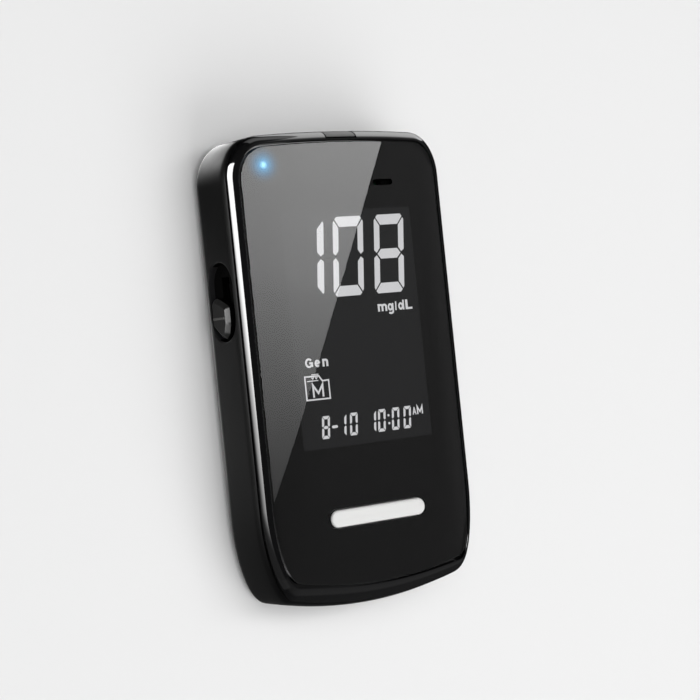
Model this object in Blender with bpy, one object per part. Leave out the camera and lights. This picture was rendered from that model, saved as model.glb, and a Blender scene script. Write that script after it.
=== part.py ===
"""Handheld talking blood glucose meter, lying on its back.

+X is the meter's right, +Y points to the end that takes the test strip, and +Z comes out of
the display. The origin is the centre of the back, on the plane that the meter rests on.
All lengths are in metres.
"""
import math

import bmesh
import bpy

# Overall outline, seen from the front
BODY_WIDTH = 0.0540
ROOM_ABOVE_DOOR = 0.0354
TOP_ARC_RADIUS = 0.350
BOTTOM_ARC_RADIUS = 0.090
TOP_CORNER_RUN = 0.0075
TOP_CORNER_RISE = 0.0088
BOTTOM_CORNER_RUN = 0.0060
BOTTOM_CORNER_RISE = 0.0180
BACK_EDGE_RADIUS = 0.0030
END_LEAN = 0.0030

# Clearances
FIT = 0.0003
SNUG = 0.0002
OVERRUN = 0.0040

# Shells
SHELL_WALL = 0.0018
BACK_FLOOR = 0.0016
GROOVE_WIDTH = 0.0009
PARTING_BELOW_FACE = 0.0044
LIP_BAND = 0.0016
LIP_INSET = 0.0003
TONGUE_WALL = 0.0009
TONGUE_DEPTH = 0.0014
CEILING_OVER_BOARD = 0.0006

# Lens and bezel
BEZEL_WIDTH = 0.0017
BEZEL_FLAT = 0.0003
LENS_THICKNESS = 0.0011
LENS_EDGE_BEVEL = 0.0002
LENS_BED = 0.0002
CROWN_DROP = 0.0018
CROWN_POWER = 4

# Cells and their bay
CELL_DIAMETER = 0.0105
CELL_LENGTH = 0.0445
CELL_NUB_DIAMETER = 0.0038
CELL_NUB_LENGTH = 0.0008
CELL_SPACING = 0.0005
BAY_END_MARGIN = 0.0076
SPRING_ROOM = 0.0036
PLATE_ROOM = 0.0010
BAY_WALL = 0.0007
TAIL_WIDTH = 0.0012
CONTACT_THICKNESS = 0.0004
CONTACT_WIDTH = 0.0080
CONTACT_SPRING_RADIUS = 0.0028
CONTACT_SPRING_TIP_RADIUS = 0.0016
CONTACT_WIRE = 0.0005
CONTACT_TURNS = 3

# Cell door
DOOR_THICKNESS = 0.0014
DOOR_MARGIN = 0.0020
DOOR_FOOT = 0.0012
DOOR_SEAT = 0.0012
DOOR_CORNER = 0.0020
HOOK_WIDTH = 0.0040
HOOK_REACH = 0.0008
HOOK_THICKNESS = 0.0006
HOOK_SPREAD = 0.0070
LATCH_WIDTH = 0.0060
LATCH_THICKNESS = 0.0009
LATCH_HEIGHT = 0.0024
GRIP_RIB_COUNT = 5
GRIP_RIB_PITCH = 0.0012
GRIP_RIB_WIDTH = 0.0006
GRIP_RIB_DEPTH = 0.0003
GRIP_LENGTH = 0.0090
GRIP_FROM_END = 0.0025

# Set key, in a well beside the cells
WELL_HALF_WIDTH = 0.0040
WELL_LENGTH = 0.0060
WELL_DEPTH = 0.0046
WELL_WALL = 0.0009
SET_KEY_RADIUS = 0.0019
SET_KEY_FLANGE_RADIUS = 0.0027
SET_KEY_FLANGE = 0.0006
SET_KEY_PROUD = 0.0008
SET_KEY_TRAVEL = 0.0004
SET_SWITCH_WIDTH = 0.0042
SET_SWITCH_HEIGHT = 0.0010

# Circuit board and what it carries
BOARD_THICKNESS = 0.0007
BOARD_SIDE_GAP = 0.0032
BOARD_FOOT_INSET = 0.0068
BOARD_FOOT_LENGTH = 0.0285
BOARD_END_GAP = 0.0022
CHIP_HEIGHT = 0.0009
PROCESSOR_SIDE = 0.0100
PROCESSOR_FROM_SWITCH = 0.0014
PROCESSOR_FROM_BAY = 0.0098
VOICE_CHIP_WIDTH = 0.0055
VOICE_CHIP_LENGTH = 0.0078
VOICE_CHIP_FROM_SIDE = 0.0150
VOICE_CHIP_FROM_BAY = 0.0058
MEMORY_CHIP_WIDTH = 0.0040
MEMORY_CHIP_LENGTH = 0.0050
MEMORY_CHIP_FROM_SIDE = 0.0150
MEMORY_CHIP_FROM_BAY = 0.0150
CRYSTAL_LENGTH = 0.0060
CRYSTAL_RADIUS = 0.0010
CRYSTAL_X = 0.0040
CRYSTAL_FROM_BAY = 0.0128
CAPACITOR_RADIUS = 0.0020
CAPACITOR_LENGTH = 0.0048
CAPACITOR_FROM_SIDE = 0.0120
CAPACITOR_FROM_END = 0.0105

# Display
DISPLAY_GAP = 0.0003
VIEW_FROM_SIDE = 0.0104
VIEW_FROM_LOWER_END = 0.0342
VIEW_FROM_UPPER_END = 0.0171
GLASS_MARGIN_X = 0.0019
GLASS_MARGIN_Y = 0.0027
GLASS_THICKNESS = 0.0012
BACKLIGHT_THICKNESS = 0.0007
BACKLIGHT_INSET_Y = 0.0016
STRIP_WIDTH = 0.0010
STRIP_INSET_X = 0.0020
FRAME_WALL = 0.0007

# Main key
KEY_HALF_LENGTH = 0.0122
KEY_HALF_HEIGHT = 0.00183
KEY_FROM_END = 0.0193
KEY_PROUD = 0.00015
KEY_EDGE = 0.0004
KEY_EDGE_SOFT_SHARE = 0.3
KEY_CLEARANCE = 0.00022
KEY_FLANGE_REACH = 0.0009
KEY_FLANGE = 0.0006
KEY_TRAVEL = 0.0006
KEY_SWITCH_SIDE = 0.0052
KEY_SWITCH_BODY = 0.0005
KEY_ROOF = 0.0007

# Status lamp and the small slot beside it
LAMP_FROM_SIDE = 0.0078
LAMP_FROM_END = 0.0069
LAMP_PIPE_RADIUS = 0.0011
LAMP_LENGTH = 0.0020
LAMP_WIDTH = 0.0012
LAMP_HEIGHT = 0.0006
SLOT_FROM_SIDE = 0.0174
SLOT_FROM_END = 0.0116
SLOT_HALF_LENGTH = 0.0026
SLOT_HALF_HEIGHT = 0.00065

# Strip port at the top end
PORT_HALF_WIDTH = 0.0037
PORT_DEPTH = 0.0016
PORT_LOW_FROM_STRIP = 0.0026
PORT_MOUTH_HALF_WIDTH = 0.0033
PORT_MOUTH_HALF_HEIGHT = 0.0008
STRIP_BELOW_BOARD = 0.0027
CHANNEL_HALF_WIDTH = 0.0033
CHANNEL_HALF_HEIGHT = 0.00045
SOCKET_HALF_WIDTH = 0.0070
SOCKET_LENGTH = 0.0120
SOCKET_BELOW_STRIP = 0.0012
CONTACT_COUNT = 3
CONTACT_PITCH = 0.0019
CONTACT_LEAF_WIDTH = 0.0007
CONTACT_LEAF_THICKNESS = 0.00018
CONTACT_LEAF_LENGTH = 0.0060

# Strip ejector on the left side
POCKET_FROM_END = 0.0260
POCKET_LENGTH = 0.0165
POCKET_WIDTH = 0.0096
POCKET_HEIGHT_SHARE = 0.548
POCKET_DEPTH = 0.0016
POCKET_FLOOR = 0.0016
KNOB_LENGTH = 0.0088
KNOB_WIDTH = 0.0066
KNOB_FROM_POCKET_END = 0.0005
KNOB_PROUD = 0.0009
KNOB_EDGE = 0.0007
KNOB_RIDGE_HEIGHT = 0.0002
KNOB_RIDGE_WIDTH = 0.0006
KNOB_TIP_SHARE = 0.22
STEM_LENGTH = 0.0036
STEM_HEIGHT = 0.0024
EJECTOR_TRAVEL = 0.0065
CARRIAGE_THICKNESS = 0.0014
CARRIAGE_BELOW_STEM = 0.0028
CARRIAGE_BELOW_BOARD = 0.0021
CARRIAGE_BEHIND_STEM = 0.0040
CARRIAGE_AHEAD_STEM = 0.0090
ARM_LENGTH = 0.0028
ARM_THICKNESS = 0.0012
FINGER_HALF_WIDTH = 0.0020
FINGER_THICKNESS = 0.0004
EJECTOR_SPRING_RADIUS = 0.0014
EJECTOR_SPRING_WIRE = 0.00035
EJECTOR_SPRING_TURNS = 9
EJECTOR_SPRING_LENGTH = 0.0125
SPRING_STOP_THICKNESS = 0.0012

# Speaker behind the back's perforations
SPEAKER_FROM_FINGER = 0.0007
SPEAKER_FROM_DOOR = 0.0024
SPEAKER_RADIUS = 0.0085
SPEAKER_HEIGHT = 0.0032
SPEAKER_RIM = 0.0010
SPEAKER_CONE_DEPTH = 0.0008
SPEAKER_BACK_SHARE = 0.9
SPEAKER_SPRING_RADIUS = 0.0011
SPEAKER_SPRING_WIRE = 0.0003
SPEAKER_SPRING_TURNS = 5
SPEAKER_SPRING_SPREAD = 0.0032
SPEAKER_SPRING_FORWARD = 0.0030
GASKET_HEIGHT = 0.0005
GASKET_WIDTH = 0.0014
GRILLE_HOLE_RADIUS = 0.0006
GRILLE_PITCH = 0.0024
GRILLE_RINGS = 2
GRILLE_FIRST_RING = 6

# Screws and their posts
SCREW_FROM_SIDE = 0.0048
SCREW_FROM_UPPER_END = 0.0140
SCREW_FROM_LOWER_END = 0.0165
SCREW_HEAD_RADIUS = 0.0018
SCREW_HEAD_TOP_SHARE = 0.8
SCREW_HEAD_HEIGHT = 0.0013
SCREW_SHANK_RADIUS = 0.0008
SCREW_LENGTH = 0.0075
SCREW_SINK = 0.0034
SCREW_RECESS_RADIUS = 0.0009
SCREW_RECESS_DEPTH = 0.0007
POST_RADIUS = 0.0023
POST_FLOOR = 0.0012

# Counts that only set how smooth a curve is, and the angle where shading breaks
STATIONS = 13
ROLL_STEPS = 5
ROUND_SIDES = 24
SMALL_SIDES = 16
END_STEPS = 8
WIRE_STEPS = 8
SHARP_ANGLE = math.radians(35)

# Outline: the cell bay and what lies beyond it set the length
BAY_LENGTH = SPRING_ROOM + CELL_LENGTH + PLATE_ROOM
BODY_LENGTH = (BAY_END_MARGIN + BAY_LENGTH + WELL_WALL + WELL_LENGTH + DOOR_MARGIN
               + ROOM_ABOVE_DOOR)
HALF_LENGTH = BODY_LENGTH / 2
HALF_WIDTH = BODY_WIDTH / 2
VIEW_HALF_WIDTH = HALF_WIDTH - VIEW_FROM_SIDE
VIEW_BOTTOM_Y = -HALF_LENGTH + VIEW_FROM_LOWER_END
VIEW_TOP_Y = HALF_LENGTH - VIEW_FROM_UPPER_END
KEY_Y = -HALF_LENGTH + KEY_FROM_END
LAMP_X = -HALF_WIDTH + LAMP_FROM_SIDE
LAMP_Y = HALF_LENGTH - LAMP_FROM_END
SLOT_X = HALF_WIDTH - SLOT_FROM_SIDE
SLOT_Y = HALF_LENGTH - SLOT_FROM_END
SCREW_X = HALF_WIDTH - SCREW_FROM_SIDE
SCREW_TOP_Y = HALF_LENGTH - SCREW_FROM_UPPER_END
SCREW_BOTTOM_Y = -HALF_LENGTH + SCREW_FROM_LOWER_END

# Heights, stacked from the back to the face
CELL_Z = DOOR_THICKNESS + FIT + CELL_DIAMETER / 2
BAY_ROOF_UNDER = CELL_Z + CELL_DIAMETER / 2 + FIT
BAY_ROOF_TOP = BAY_ROOF_UNDER + BAY_WALL
BOARD_UNDER = BAY_ROOF_TOP + SNUG
BOARD_TOP = BOARD_UNDER + BOARD_THICKNESS
CEILING = BOARD_TOP + CEILING_OVER_BOARD
BACKLIGHT_UNDER = BOARD_TOP + SNUG
BACKLIGHT_TOP = BACKLIGHT_UNDER + BACKLIGHT_THICKNESS
GLASS_UNDER = BACKLIGHT_TOP + SNUG
GLASS_TOP = GLASS_UNDER + GLASS_THICKNESS
GLASS_HALF_WIDTH = VIEW_HALF_WIDTH + GLASS_MARGIN_X
FRAME_HALF_WIDTH = GLASS_HALF_WIDTH + SNUG + FRAME_WALL
LENS_INSET = BEZEL_WIDTH + FIT
CROWN_REACH = HALF_WIDTH - LENS_INSET
GLASS_EDGE_DROP = CROWN_DROP * (GLASS_HALF_WIDTH / CROWN_REACH) ** CROWN_POWER
FACE_Z = GLASS_TOP + DISPLAY_GAP + GLASS_EDGE_DROP + LENS_THICKNESS
MIDDLE_Z = FACE_Z / 2
PARTING_Z = FACE_Z - PARTING_BELOW_FACE
RIM_Z = PARTING_Z - GROOVE_WIDTH / 2
SKIRT_Z = PARTING_Z + GROOVE_WIDTH / 2
TONGUE_Z = RIM_Z - TONGUE_DEPTH
TONGUE_INSET = SHELL_WALL + FIT
CAVITY_INSET = TONGUE_INSET + TONGUE_WALL
STRIP_Z = BOARD_UNDER - STRIP_BELOW_BOARD

# Bay plan
BAY_HALF_WIDTH = CELL_DIAMETER + CELL_SPACING / 2 + FIT
CELL_X = (CELL_DIAMETER + CELL_SPACING) / 2
BAY_LOW_Y = -HALF_LENGTH + BAY_END_MARGIN
BAY_HIGH_Y = BAY_LOW_Y + BAY_LENGTH
WELL_LOW_Y = BAY_HIGH_Y + WELL_WALL
WELL_HIGH_Y = WELL_LOW_Y + WELL_LENGTH
SET_KEY_Y = (WELL_LOW_Y + WELL_HIGH_Y) / 2
DOOR_HALF_WIDTH = BAY_HALF_WIDTH + DOOR_MARGIN
DOOR_LOW_Y = BAY_LOW_Y - DOOR_FOOT
DOOR_HIGH_Y = WELL_HIGH_Y + DOOR_MARGIN

SPEAKER_X = (FINGER_HALF_WIDTH + SPEAKER_FROM_FINGER + SPEAKER_SPRING_RADIUS
             + SPEAKER_SPRING_SPREAD)
SPEAKER_Y = DOOR_HIGH_Y + SPEAKER_FROM_DOOR + SPEAKER_RADIUS

# Board plan
BOARD_HALF_WIDTH = HALF_WIDTH - CAVITY_INSET - BOARD_SIDE_GAP
BOARD_FOOT_HALF_WIDTH = BOARD_HALF_WIDTH - BOARD_FOOT_INSET
BOARD_STEP_Y = -HALF_LENGTH + BOARD_FOOT_LENGTH
PROCESSOR_X = -(SET_SWITCH_WIDTH + PROCESSOR_SIDE) / 2 - PROCESSOR_FROM_SWITCH
VOICE_CHIP_X = HALF_WIDTH - VOICE_CHIP_FROM_SIDE
MEMORY_CHIP_X = HALF_WIDTH - MEMORY_CHIP_FROM_SIDE
PROCESSOR_Y = BAY_HIGH_Y + PROCESSOR_FROM_BAY
VOICE_CHIP_Y = BAY_HIGH_Y + VOICE_CHIP_FROM_BAY
MEMORY_CHIP_Y = BAY_HIGH_Y + MEMORY_CHIP_FROM_BAY
CRYSTAL_Y = BAY_HIGH_Y + CRYSTAL_FROM_BAY
CAPACITOR_X = HALF_WIDTH - CAPACITOR_FROM_SIDE
CAPACITOR_Y = HALF_LENGTH - CAPACITOR_FROM_END

# Key stack
KEY_FACE_Z = FACE_Z + KEY_PROUD
KEY_POCKET_TOP = FACE_Z - LENS_THICKNESS - LENS_BED - KEY_ROOF
KEY_FLANGE_TOP = KEY_POCKET_TOP - FIT
KEY_FLANGE_UNDER = KEY_FLANGE_TOP - KEY_FLANGE

# Ejector plan
POCKET_BOTTOM_Y = HALF_LENGTH - POCKET_FROM_END - POCKET_LENGTH
POCKET_CENTRE_Z = RIM_Z * POCKET_HEIGHT_SHARE
CARRIAGE_LOW_Z = POCKET_CENTRE_Z - CARRIAGE_BELOW_STEM
POCKET_FLOOR_X = -HALF_WIDTH + POCKET_DEPTH
POCKET_BACK_X = POCKET_FLOOR_X + POCKET_FLOOR
KNOB_LOW_Y = POCKET_BOTTOM_Y + KNOB_FROM_POCKET_END
KNOB_HIGH_Y = KNOB_LOW_Y + KNOB_LENGTH
KNOB_Y = (KNOB_LOW_Y + KNOB_HIGH_Y) / 2
STEM_LOW_Y = KNOB_Y - STEM_LENGTH / 2
CARRIAGE_OUTER_X = POCKET_BACK_X + FIT
CARRIAGE_INNER_X = CARRIAGE_OUTER_X + CARRIAGE_THICKNESS
CARRIAGE_LOW_Y = STEM_LOW_Y - CARRIAGE_BEHIND_STEM
CARRIAGE_HIGH_Y = STEM_LOW_Y + CARRIAGE_AHEAD_STEM
CARRIAGE_HIGH_Z = BOARD_UNDER - CARRIAGE_BELOW_BOARD
SPRING_STOP_Y = CARRIAGE_HIGH_Y + EJECTOR_SPRING_LENGTH
SPRING_AXIS_X = CARRIAGE_OUTER_X + FIT + EJECTOR_SPRING_RADIUS
SPRING_AXIS_Z = CARRIAGE_LOW_Z + EJECTOR_SPRING_RADIUS
SPRING_SEAT_X = SPRING_AXIS_X + EJECTOR_SPRING_RADIUS + FIT
FINGER_LOW_Z = STRIP_Z - CHANNEL_HALF_HEIGHT + SNUG / 2
SOCKET_HIGH_Y = HALF_LENGTH - CAVITY_INSET - FIT
SOCKET_LOW_Y = SOCKET_HIGH_Y - SOCKET_LENGTH

# Finish of each kind of piece: colour, roughness, metallic
FINISHES = {
    "satin_black": ((0.018, 0.018, 0.020), 0.42, 0.0),
    "gloss_black": ((0.010, 0.010, 0.011), 0.08, 0.0),
    "smoked_lens": ((0.020, 0.020, 0.022), 0.04, 0.0),
    "key_white": ((0.78, 0.78, 0.76), 0.35, 0.0),
    "display_glass": ((0.030, 0.032, 0.036), 0.10, 0.0),
    "light_guide": ((0.85, 0.87, 0.90), 0.30, 0.0),
    "clear_guide": ((0.70, 0.82, 0.95), 0.12, 0.0),
    "lamp_body": ((0.75, 0.80, 0.85), 0.30, 0.0),
    "board_green": ((0.020, 0.150, 0.060), 0.45, 0.0),
    "chip_black": ((0.025, 0.025, 0.027), 0.60, 0.0),
    "rubber_grey": ((0.120, 0.120, 0.125), 0.85, 0.0),
    "cell_wrap": ((0.200, 0.210, 0.220), 0.35, 0.3),
    "spring_steel": ((0.620, 0.620, 0.600), 0.30, 1.0),
    "gold_contact": ((0.830, 0.610, 0.260), 0.25, 1.0),
    "screw_steel": ((0.450, 0.450, 0.460), 0.35, 1.0),
    "inner_plastic": ((0.550, 0.550, 0.540), 0.50, 0.0),
    "ejector_black": ((0.024, 0.024, 0.024), 0.50, 0.0),
}


def clear_scene():
    """Remove every object that the file opened with."""
    for item in list(bpy.data.objects):
        bpy.data.objects.remove(item, do_unlink=True)


# Shapes, each given as a list of points and a list of faces

def crown_z(x, below=0.0):
    """Height of the crowned face over one place across its width."""
    return FACE_Z - CROWN_DROP * (abs(x) / CROWN_REACH) ** CROWN_POWER - below


def arc_drop(x, radius):
    """How far a shallow arc has fallen from its crest at x."""
    return radius - math.sqrt(radius ** 2 - x ** 2)


def corner_drop(x, start, run, rise):
    """How far an elliptical corner that begins at start has fallen at x."""
    over = min(max(abs(x) - start, 0.0) / run, 1.0)
    return rise * (1 - math.sqrt(1 - over * over))


def end_lean(z):
    """How far the lower end has drawn in at height z."""
    over = max(z - MIDDLE_Z, 0.0) / (FACE_Z - MIDDLE_Z)
    return END_LEAN * over * over


def top_edge(x, inset):
    """Upper outline of the body, drawn in by inset."""
    start = HALF_WIDTH - TOP_CORNER_RUN
    corner = corner_drop(x, start, TOP_CORNER_RUN - inset, TOP_CORNER_RISE - inset)
    return HALF_LENGTH - inset - arc_drop(x, TOP_ARC_RADIUS) - corner


def bottom_edge(x, inset, z):
    """Lower outline of the body at height z, drawn in by inset."""
    start = HALF_WIDTH - BOTTOM_CORNER_RUN
    corner = corner_drop(x, start, BOTTOM_CORNER_RUN - inset, BOTTOM_CORNER_RISE - inset)
    edge = -HALF_LENGTH + inset + arc_drop(x, BOTTOM_ARC_RADIUS) + corner
    return edge * (1 - end_lean(z) / HALF_LENGTH)


def body_ring(inset, height, lean_height=None):
    """One level of the body's outline, anticlockwise from above.

    height is a number, or a function of x where the level follows the crown.
    """
    reach = HALF_WIDTH - inset
    lower = []
    upper = []
    for step in range(-STATIONS, STATIONS + 1):
        x = reach * math.sin(math.pi / 2 * step / STATIONS)
        z = height(x) if callable(height) else height
        lean_at = z if lean_height is None else lean_height
        lower.append((x, bottom_edge(x, inset, lean_at), z))
        upper.append((x, top_edge(x, inset), z))
    return lower + upper[::-1]


def is_flat(ring):
    """Whether a ring lies at one height."""
    return ring[0][2] == ring[len(ring) // 4][2]


def loft(rings):
    """Close a stack of body rings into one solid.

    A flat end gets one face. A crowned end gets strips along the body, which stay flat.
    """
    count = len(rings[0])
    points = [point for ring in rings for point in ring]
    faces = []
    for level in range(len(rings) - 1):
        low = level * count
        high = low + count
        for i in range(count):
            j = (i + 1) % count
            faces.append((low + i, low + j, high + j, high + i))
    last = (len(rings) - 1) * count
    for ring, start in ((rings[0], 0), (rings[-1], last)):
        if is_flat(ring):
            faces.append(tuple(range(start, start + count)))
            continue
        for i in range(count // 2 - 1):
            mirror = count - 1 - i
            faces.append((start + i, start + i + 1, start + mirror - 1, start + mirror))
    return points, faces


def prism(outline, low, high, axis="Z"):
    """Extrude an outline from low to high along one axis."""
    order = {"X": (2, 0, 1), "Y": (0, 2, 1), "Z": (0, 1, 2)}[axis]
    points = []
    for level in (low, high):
        for first, second in outline:
            spot = (first, second, level)
            points.append(tuple(spot[k] for k in order))
    count = len(outline)
    faces = [tuple(range(count - 1, -1, -1)), tuple(range(count, 2 * count))]
    for i in range(count):
        j = (i + 1) % count
        faces.append((i, j, count + j, count + i))
    return points, faces


def block(low, high):
    """Box between two corners."""
    outline = [(low[0], low[1]), (high[0], low[1]), (high[0], high[1]), (low[0], high[1])]
    return prism(outline, low[2], high[2])


def centred_block(centre, size, low_z, high_z):
    """Box of a given plan size about a place on the plan."""
    return block((centre[0] - size[0] / 2, centre[1] - size[1] / 2, low_z),
                 (centre[0] + size[0] / 2, centre[1] + size[1] / 2, high_z))


def circle(centre, radius, sides=ROUND_SIDES):
    """Points of a circle."""
    return [(centre[0] + radius * math.cos(2 * math.pi * i / sides),
             centre[1] + radius * math.sin(2 * math.pi * i / sides)) for i in range(sides)]


def rod(centre, radius, low, high, axis="Z", sides=SMALL_SIDES):
    """Round bar along one axis."""
    return prism(circle(centre, radius, sides), low, high, axis)


def stadium(centre, half_length, radius, upright=False, steps=END_STEPS):
    """Points of a slot with round ends."""
    points = []
    for side in (1, -1):
        for i in range(steps + 1):
            turn = -math.pi / 2 + math.pi * i / steps
            along = side * (half_length - radius + radius * math.cos(turn))
            across = side * radius * math.sin(turn)
            spot = (-across, along) if upright else (along, across)
            points.append((centre[0] + spot[0], centre[1] + spot[1]))
    return points


def rounded_plate(low, high, radius, steps=END_STEPS // 2):
    """Points of a rectangle with round corners."""
    points = []
    corners = ((high[0] - radius, low[1] + radius, 3), (high[0] - radius, high[1] - radius, 0),
               (low[0] + radius, high[1] - radius, 1), (low[0] + radius, low[1] + radius, 2))
    for x, y, quarter in corners:
        for i in range(steps + 1):
            turn = math.pi / 2 * (quarter + i / steps)
            points.append((x + radius * math.cos(turn), y + radius * math.sin(turn)))
    return points


def turned(profile, centre, sides=ROUND_SIDES):
    """Closed solid turned about a vertical axis from (radius, height) pairs, on axis at both ends."""
    points = [(centre[0], centre[1], profile[0][1])]
    for radius, z in profile[1:-1]:
        points += [(x, y, z) for x, y in circle(centre, radius, sides)]
    points.append((centre[0], centre[1], profile[-1][1]))
    faces = []
    levels = len(profile) - 2
    for i in range(sides):
        j = (i + 1) % sides
        faces.append((0, 1 + j, 1 + i))
        for level in range(levels - 1):
            low = 1 + level * sides
            high = low + sides
            faces.append((low + i, low + j, high + j, high + i))
        top = 1 + (levels - 1) * sides
        faces.append((top + i, top + j, len(points) - 1))
    return points, faces


# Blender objects

def build_mesh(name, shape):
    """Mesh with its faces pointing out, its round faces shaded smooth."""
    mesh = bpy.data.meshes.new(name)
    mesh.from_pydata(shape[0], [], shape[1])
    work = bmesh.new()
    work.from_mesh(mesh)
    bmesh.ops.recalc_face_normals(work, faces=work.faces)
    work.to_mesh(mesh)
    work.free()
    mesh.shade_smooth()
    mesh.set_sharp_from_angle(angle=SHARP_ANGLE)
    return mesh


def finish_material(name, finish):
    """One plain material of a piece's own."""
    colour, roughness, metallic = FINISHES[finish]
    material = bpy.data.materials.new(name + "_" + finish)
    material.use_nodes = True
    shader = material.node_tree.nodes["Principled BSDF"]
    shader.inputs["Base Color"].default_value = (*colour, 1.0)
    shader.inputs["Roughness"].default_value = roughness
    shader.inputs["Metallic"].default_value = metallic
    return material


def place_origin(item, spot):
    """Move an object's origin to a spot and leave its shape where it is."""
    for vertex in item.data.vertices:
        vertex.co.x -= spot[0]
        vertex.co.y -= spot[1]
        vertex.co.z -= spot[2]
    item.location = spot


def piece(name, shape, finish, origin=(0.0, 0.0, 0.0)):
    """One named sub-part with its own material."""
    item = bpy.data.objects.new(name, build_mesh(name, shape))
    bpy.context.scene.collection.objects.link(item)
    item.data.materials.append(finish_material(name, finish))
    place_origin(item, origin)
    return item


def guide(item, shape):
    """Hidden helper that a Boolean reads."""
    name = item.name + "_guide"
    helper = bpy.data.objects.new(name, build_mesh(name, shape))
    bpy.context.scene.collection.objects.link(helper)
    helper.hide_render = True
    helper.display_type = "WIRE"
    return helper


def shape_with(item, operation, shapes):
    """Cut, join or trim a piece with each of some shapes in turn."""
    for shape in shapes:
        modifier = item.modifiers.new(operation.title(), "BOOLEAN")
        modifier.operation = operation
        modifier.solver = "EXACT"
        modifier.object = guide(item, shape)


def cut(item, *shapes):
    """Take shapes away from a piece."""
    shape_with(item, "DIFFERENCE", shapes)


def join(item, *shapes):
    """Add shapes to a piece."""
    shape_with(item, "UNION", shapes)


def tube(name, path, radius, finish):
    """Round wire along a path, as a curve with filled ends."""
    curve = bpy.data.curves.new(name, "CURVE")
    curve.dimensions = "3D"
    curve.bevel_depth = radius
    curve.bevel_resolution = 1
    curve.use_fill_caps = True
    spline = curve.splines.new("POLY")
    spline.points.add(len(path) - 1)
    for point, spot in zip(spline.points, path):
        point.co = (*spot, 1.0)
    item = bpy.data.objects.new(name, curve)
    bpy.context.scene.collection.objects.link(item)
    curve.materials.append(finish_material(name, finish))
    return item


def coil_path(centre, start, end, radii, turns, wire, upright=False):
    """Helix along Y, or upright, whose radius runs from the first of radii to the second."""
    total = turns * WIRE_STEPS
    path = []
    for i in range(total + 1):
        share = i / total
        turn = 2 * math.pi * turns * share
        radius = radii[0] + (radii[1] - radii[0]) * share
        first = centre[0] + (radius - wire) * math.cos(turn)
        second = centre[1] + (radius - wire) * math.sin(turn)
        along = start + (end - start) * share
        path.append((first, second, along) if upright else (first, along, second))
    return path


# Shells

def roll_rings(inset_to, start_z, top, steps=ROLL_STEPS):
    """Rings that round the side over into the face."""
    rings = []
    for step in range(steps + 1):
        turn = math.pi / 2 * step / steps
        inset = inset_to * (1 - math.cos(turn))
        rings.append(body_ring(inset, lambda x, s=math.sin(turn): start_z + (top(x) - start_z) * s))
    return rings


def back_roll_rings(steps=ROLL_STEPS):
    """Rings that round the back's edge up into the side."""
    rings = []
    for step in range(steps + 1):
        turn = math.pi / 2 * step / steps
        inset = BACK_EDGE_RADIUS * (1 - math.sin(turn))
        rings.append(body_ring(inset, BACK_EDGE_RADIUS * (1 - math.cos(turn))))
    return rings


def screw_places():
    """Places of the four case screws, with the words that name them."""
    places = []
    for end, y in (("top", SCREW_TOP_Y), ("bottom", SCREW_BOTTOM_Y)):
        for side, x in (("left", -SCREW_X), ("right", SCREW_X)):
            places.append((end + "_" + side, (x, y)))
    return places


def bay_boxes():
    """Outer and inner boxes of the cell bay, the door's seat and the set key's well."""
    outer = [
        block((-DOOR_HALF_WIDTH - DOOR_SEAT, DOOR_LOW_Y - DOOR_SEAT, BACK_FLOOR / 2),
              (DOOR_HALF_WIDTH + DOOR_SEAT, DOOR_HIGH_Y + DOOR_SEAT,
               DOOR_THICKNESS + SNUG + DOOR_SEAT)),
        block((-BAY_HALF_WIDTH - BAY_WALL, BAY_LOW_Y - BAY_WALL, BACK_FLOOR / 2),
              (BAY_HALF_WIDTH + BAY_WALL, BAY_HIGH_Y + BAY_WALL, BAY_ROOF_TOP)),
        block((-WELL_HALF_WIDTH - WELL_WALL, BAY_HIGH_Y - WELL_WALL, BACK_FLOOR / 2),
              (WELL_HALF_WIDTH + WELL_WALL, WELL_HIGH_Y + WELL_WALL, WELL_DEPTH + WELL_WALL)),
    ]
    inner = [
        block((-BAY_HALF_WIDTH, BAY_LOW_Y, -OVERRUN), (BAY_HALF_WIDTH, BAY_HIGH_Y, BAY_ROOF_UNDER)),
        block((-WELL_HALF_WIDTH, WELL_LOW_Y, -OVERRUN), (WELL_HALF_WIDTH, WELL_HIGH_Y, WELL_DEPTH)),
    ]
    return outer, inner


def port_box(grow):
    """Space of the strip port's trim, grown by a clearance."""
    return block((-PORT_HALF_WIDTH - grow, HALF_LENGTH - PORT_DEPTH - grow,
                  STRIP_Z - PORT_LOW_FROM_STRIP - grow),
                 (PORT_HALF_WIDTH + grow, HALF_LENGTH + OVERRUN, FACE_Z + OVERRUN))


def hook_boxes(grow):
    """The door's two hooks, or with a clearance the notches that they sit in."""
    boxes = []
    for side in (-1, 1):
        x = side * HOOK_SPREAD
        reach = HOOK_REACH + grow
        boxes.append(block((x - HOOK_WIDTH / 2 - grow, DOOR_LOW_Y - reach,
                            DOOR_THICKNESS - HOOK_THICKNESS - grow),
                           (x + HOOK_WIDTH / 2 + grow, DOOR_LOW_Y + HOOK_REACH,
                            DOOR_THICKNESS + grow)))
    return boxes


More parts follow.
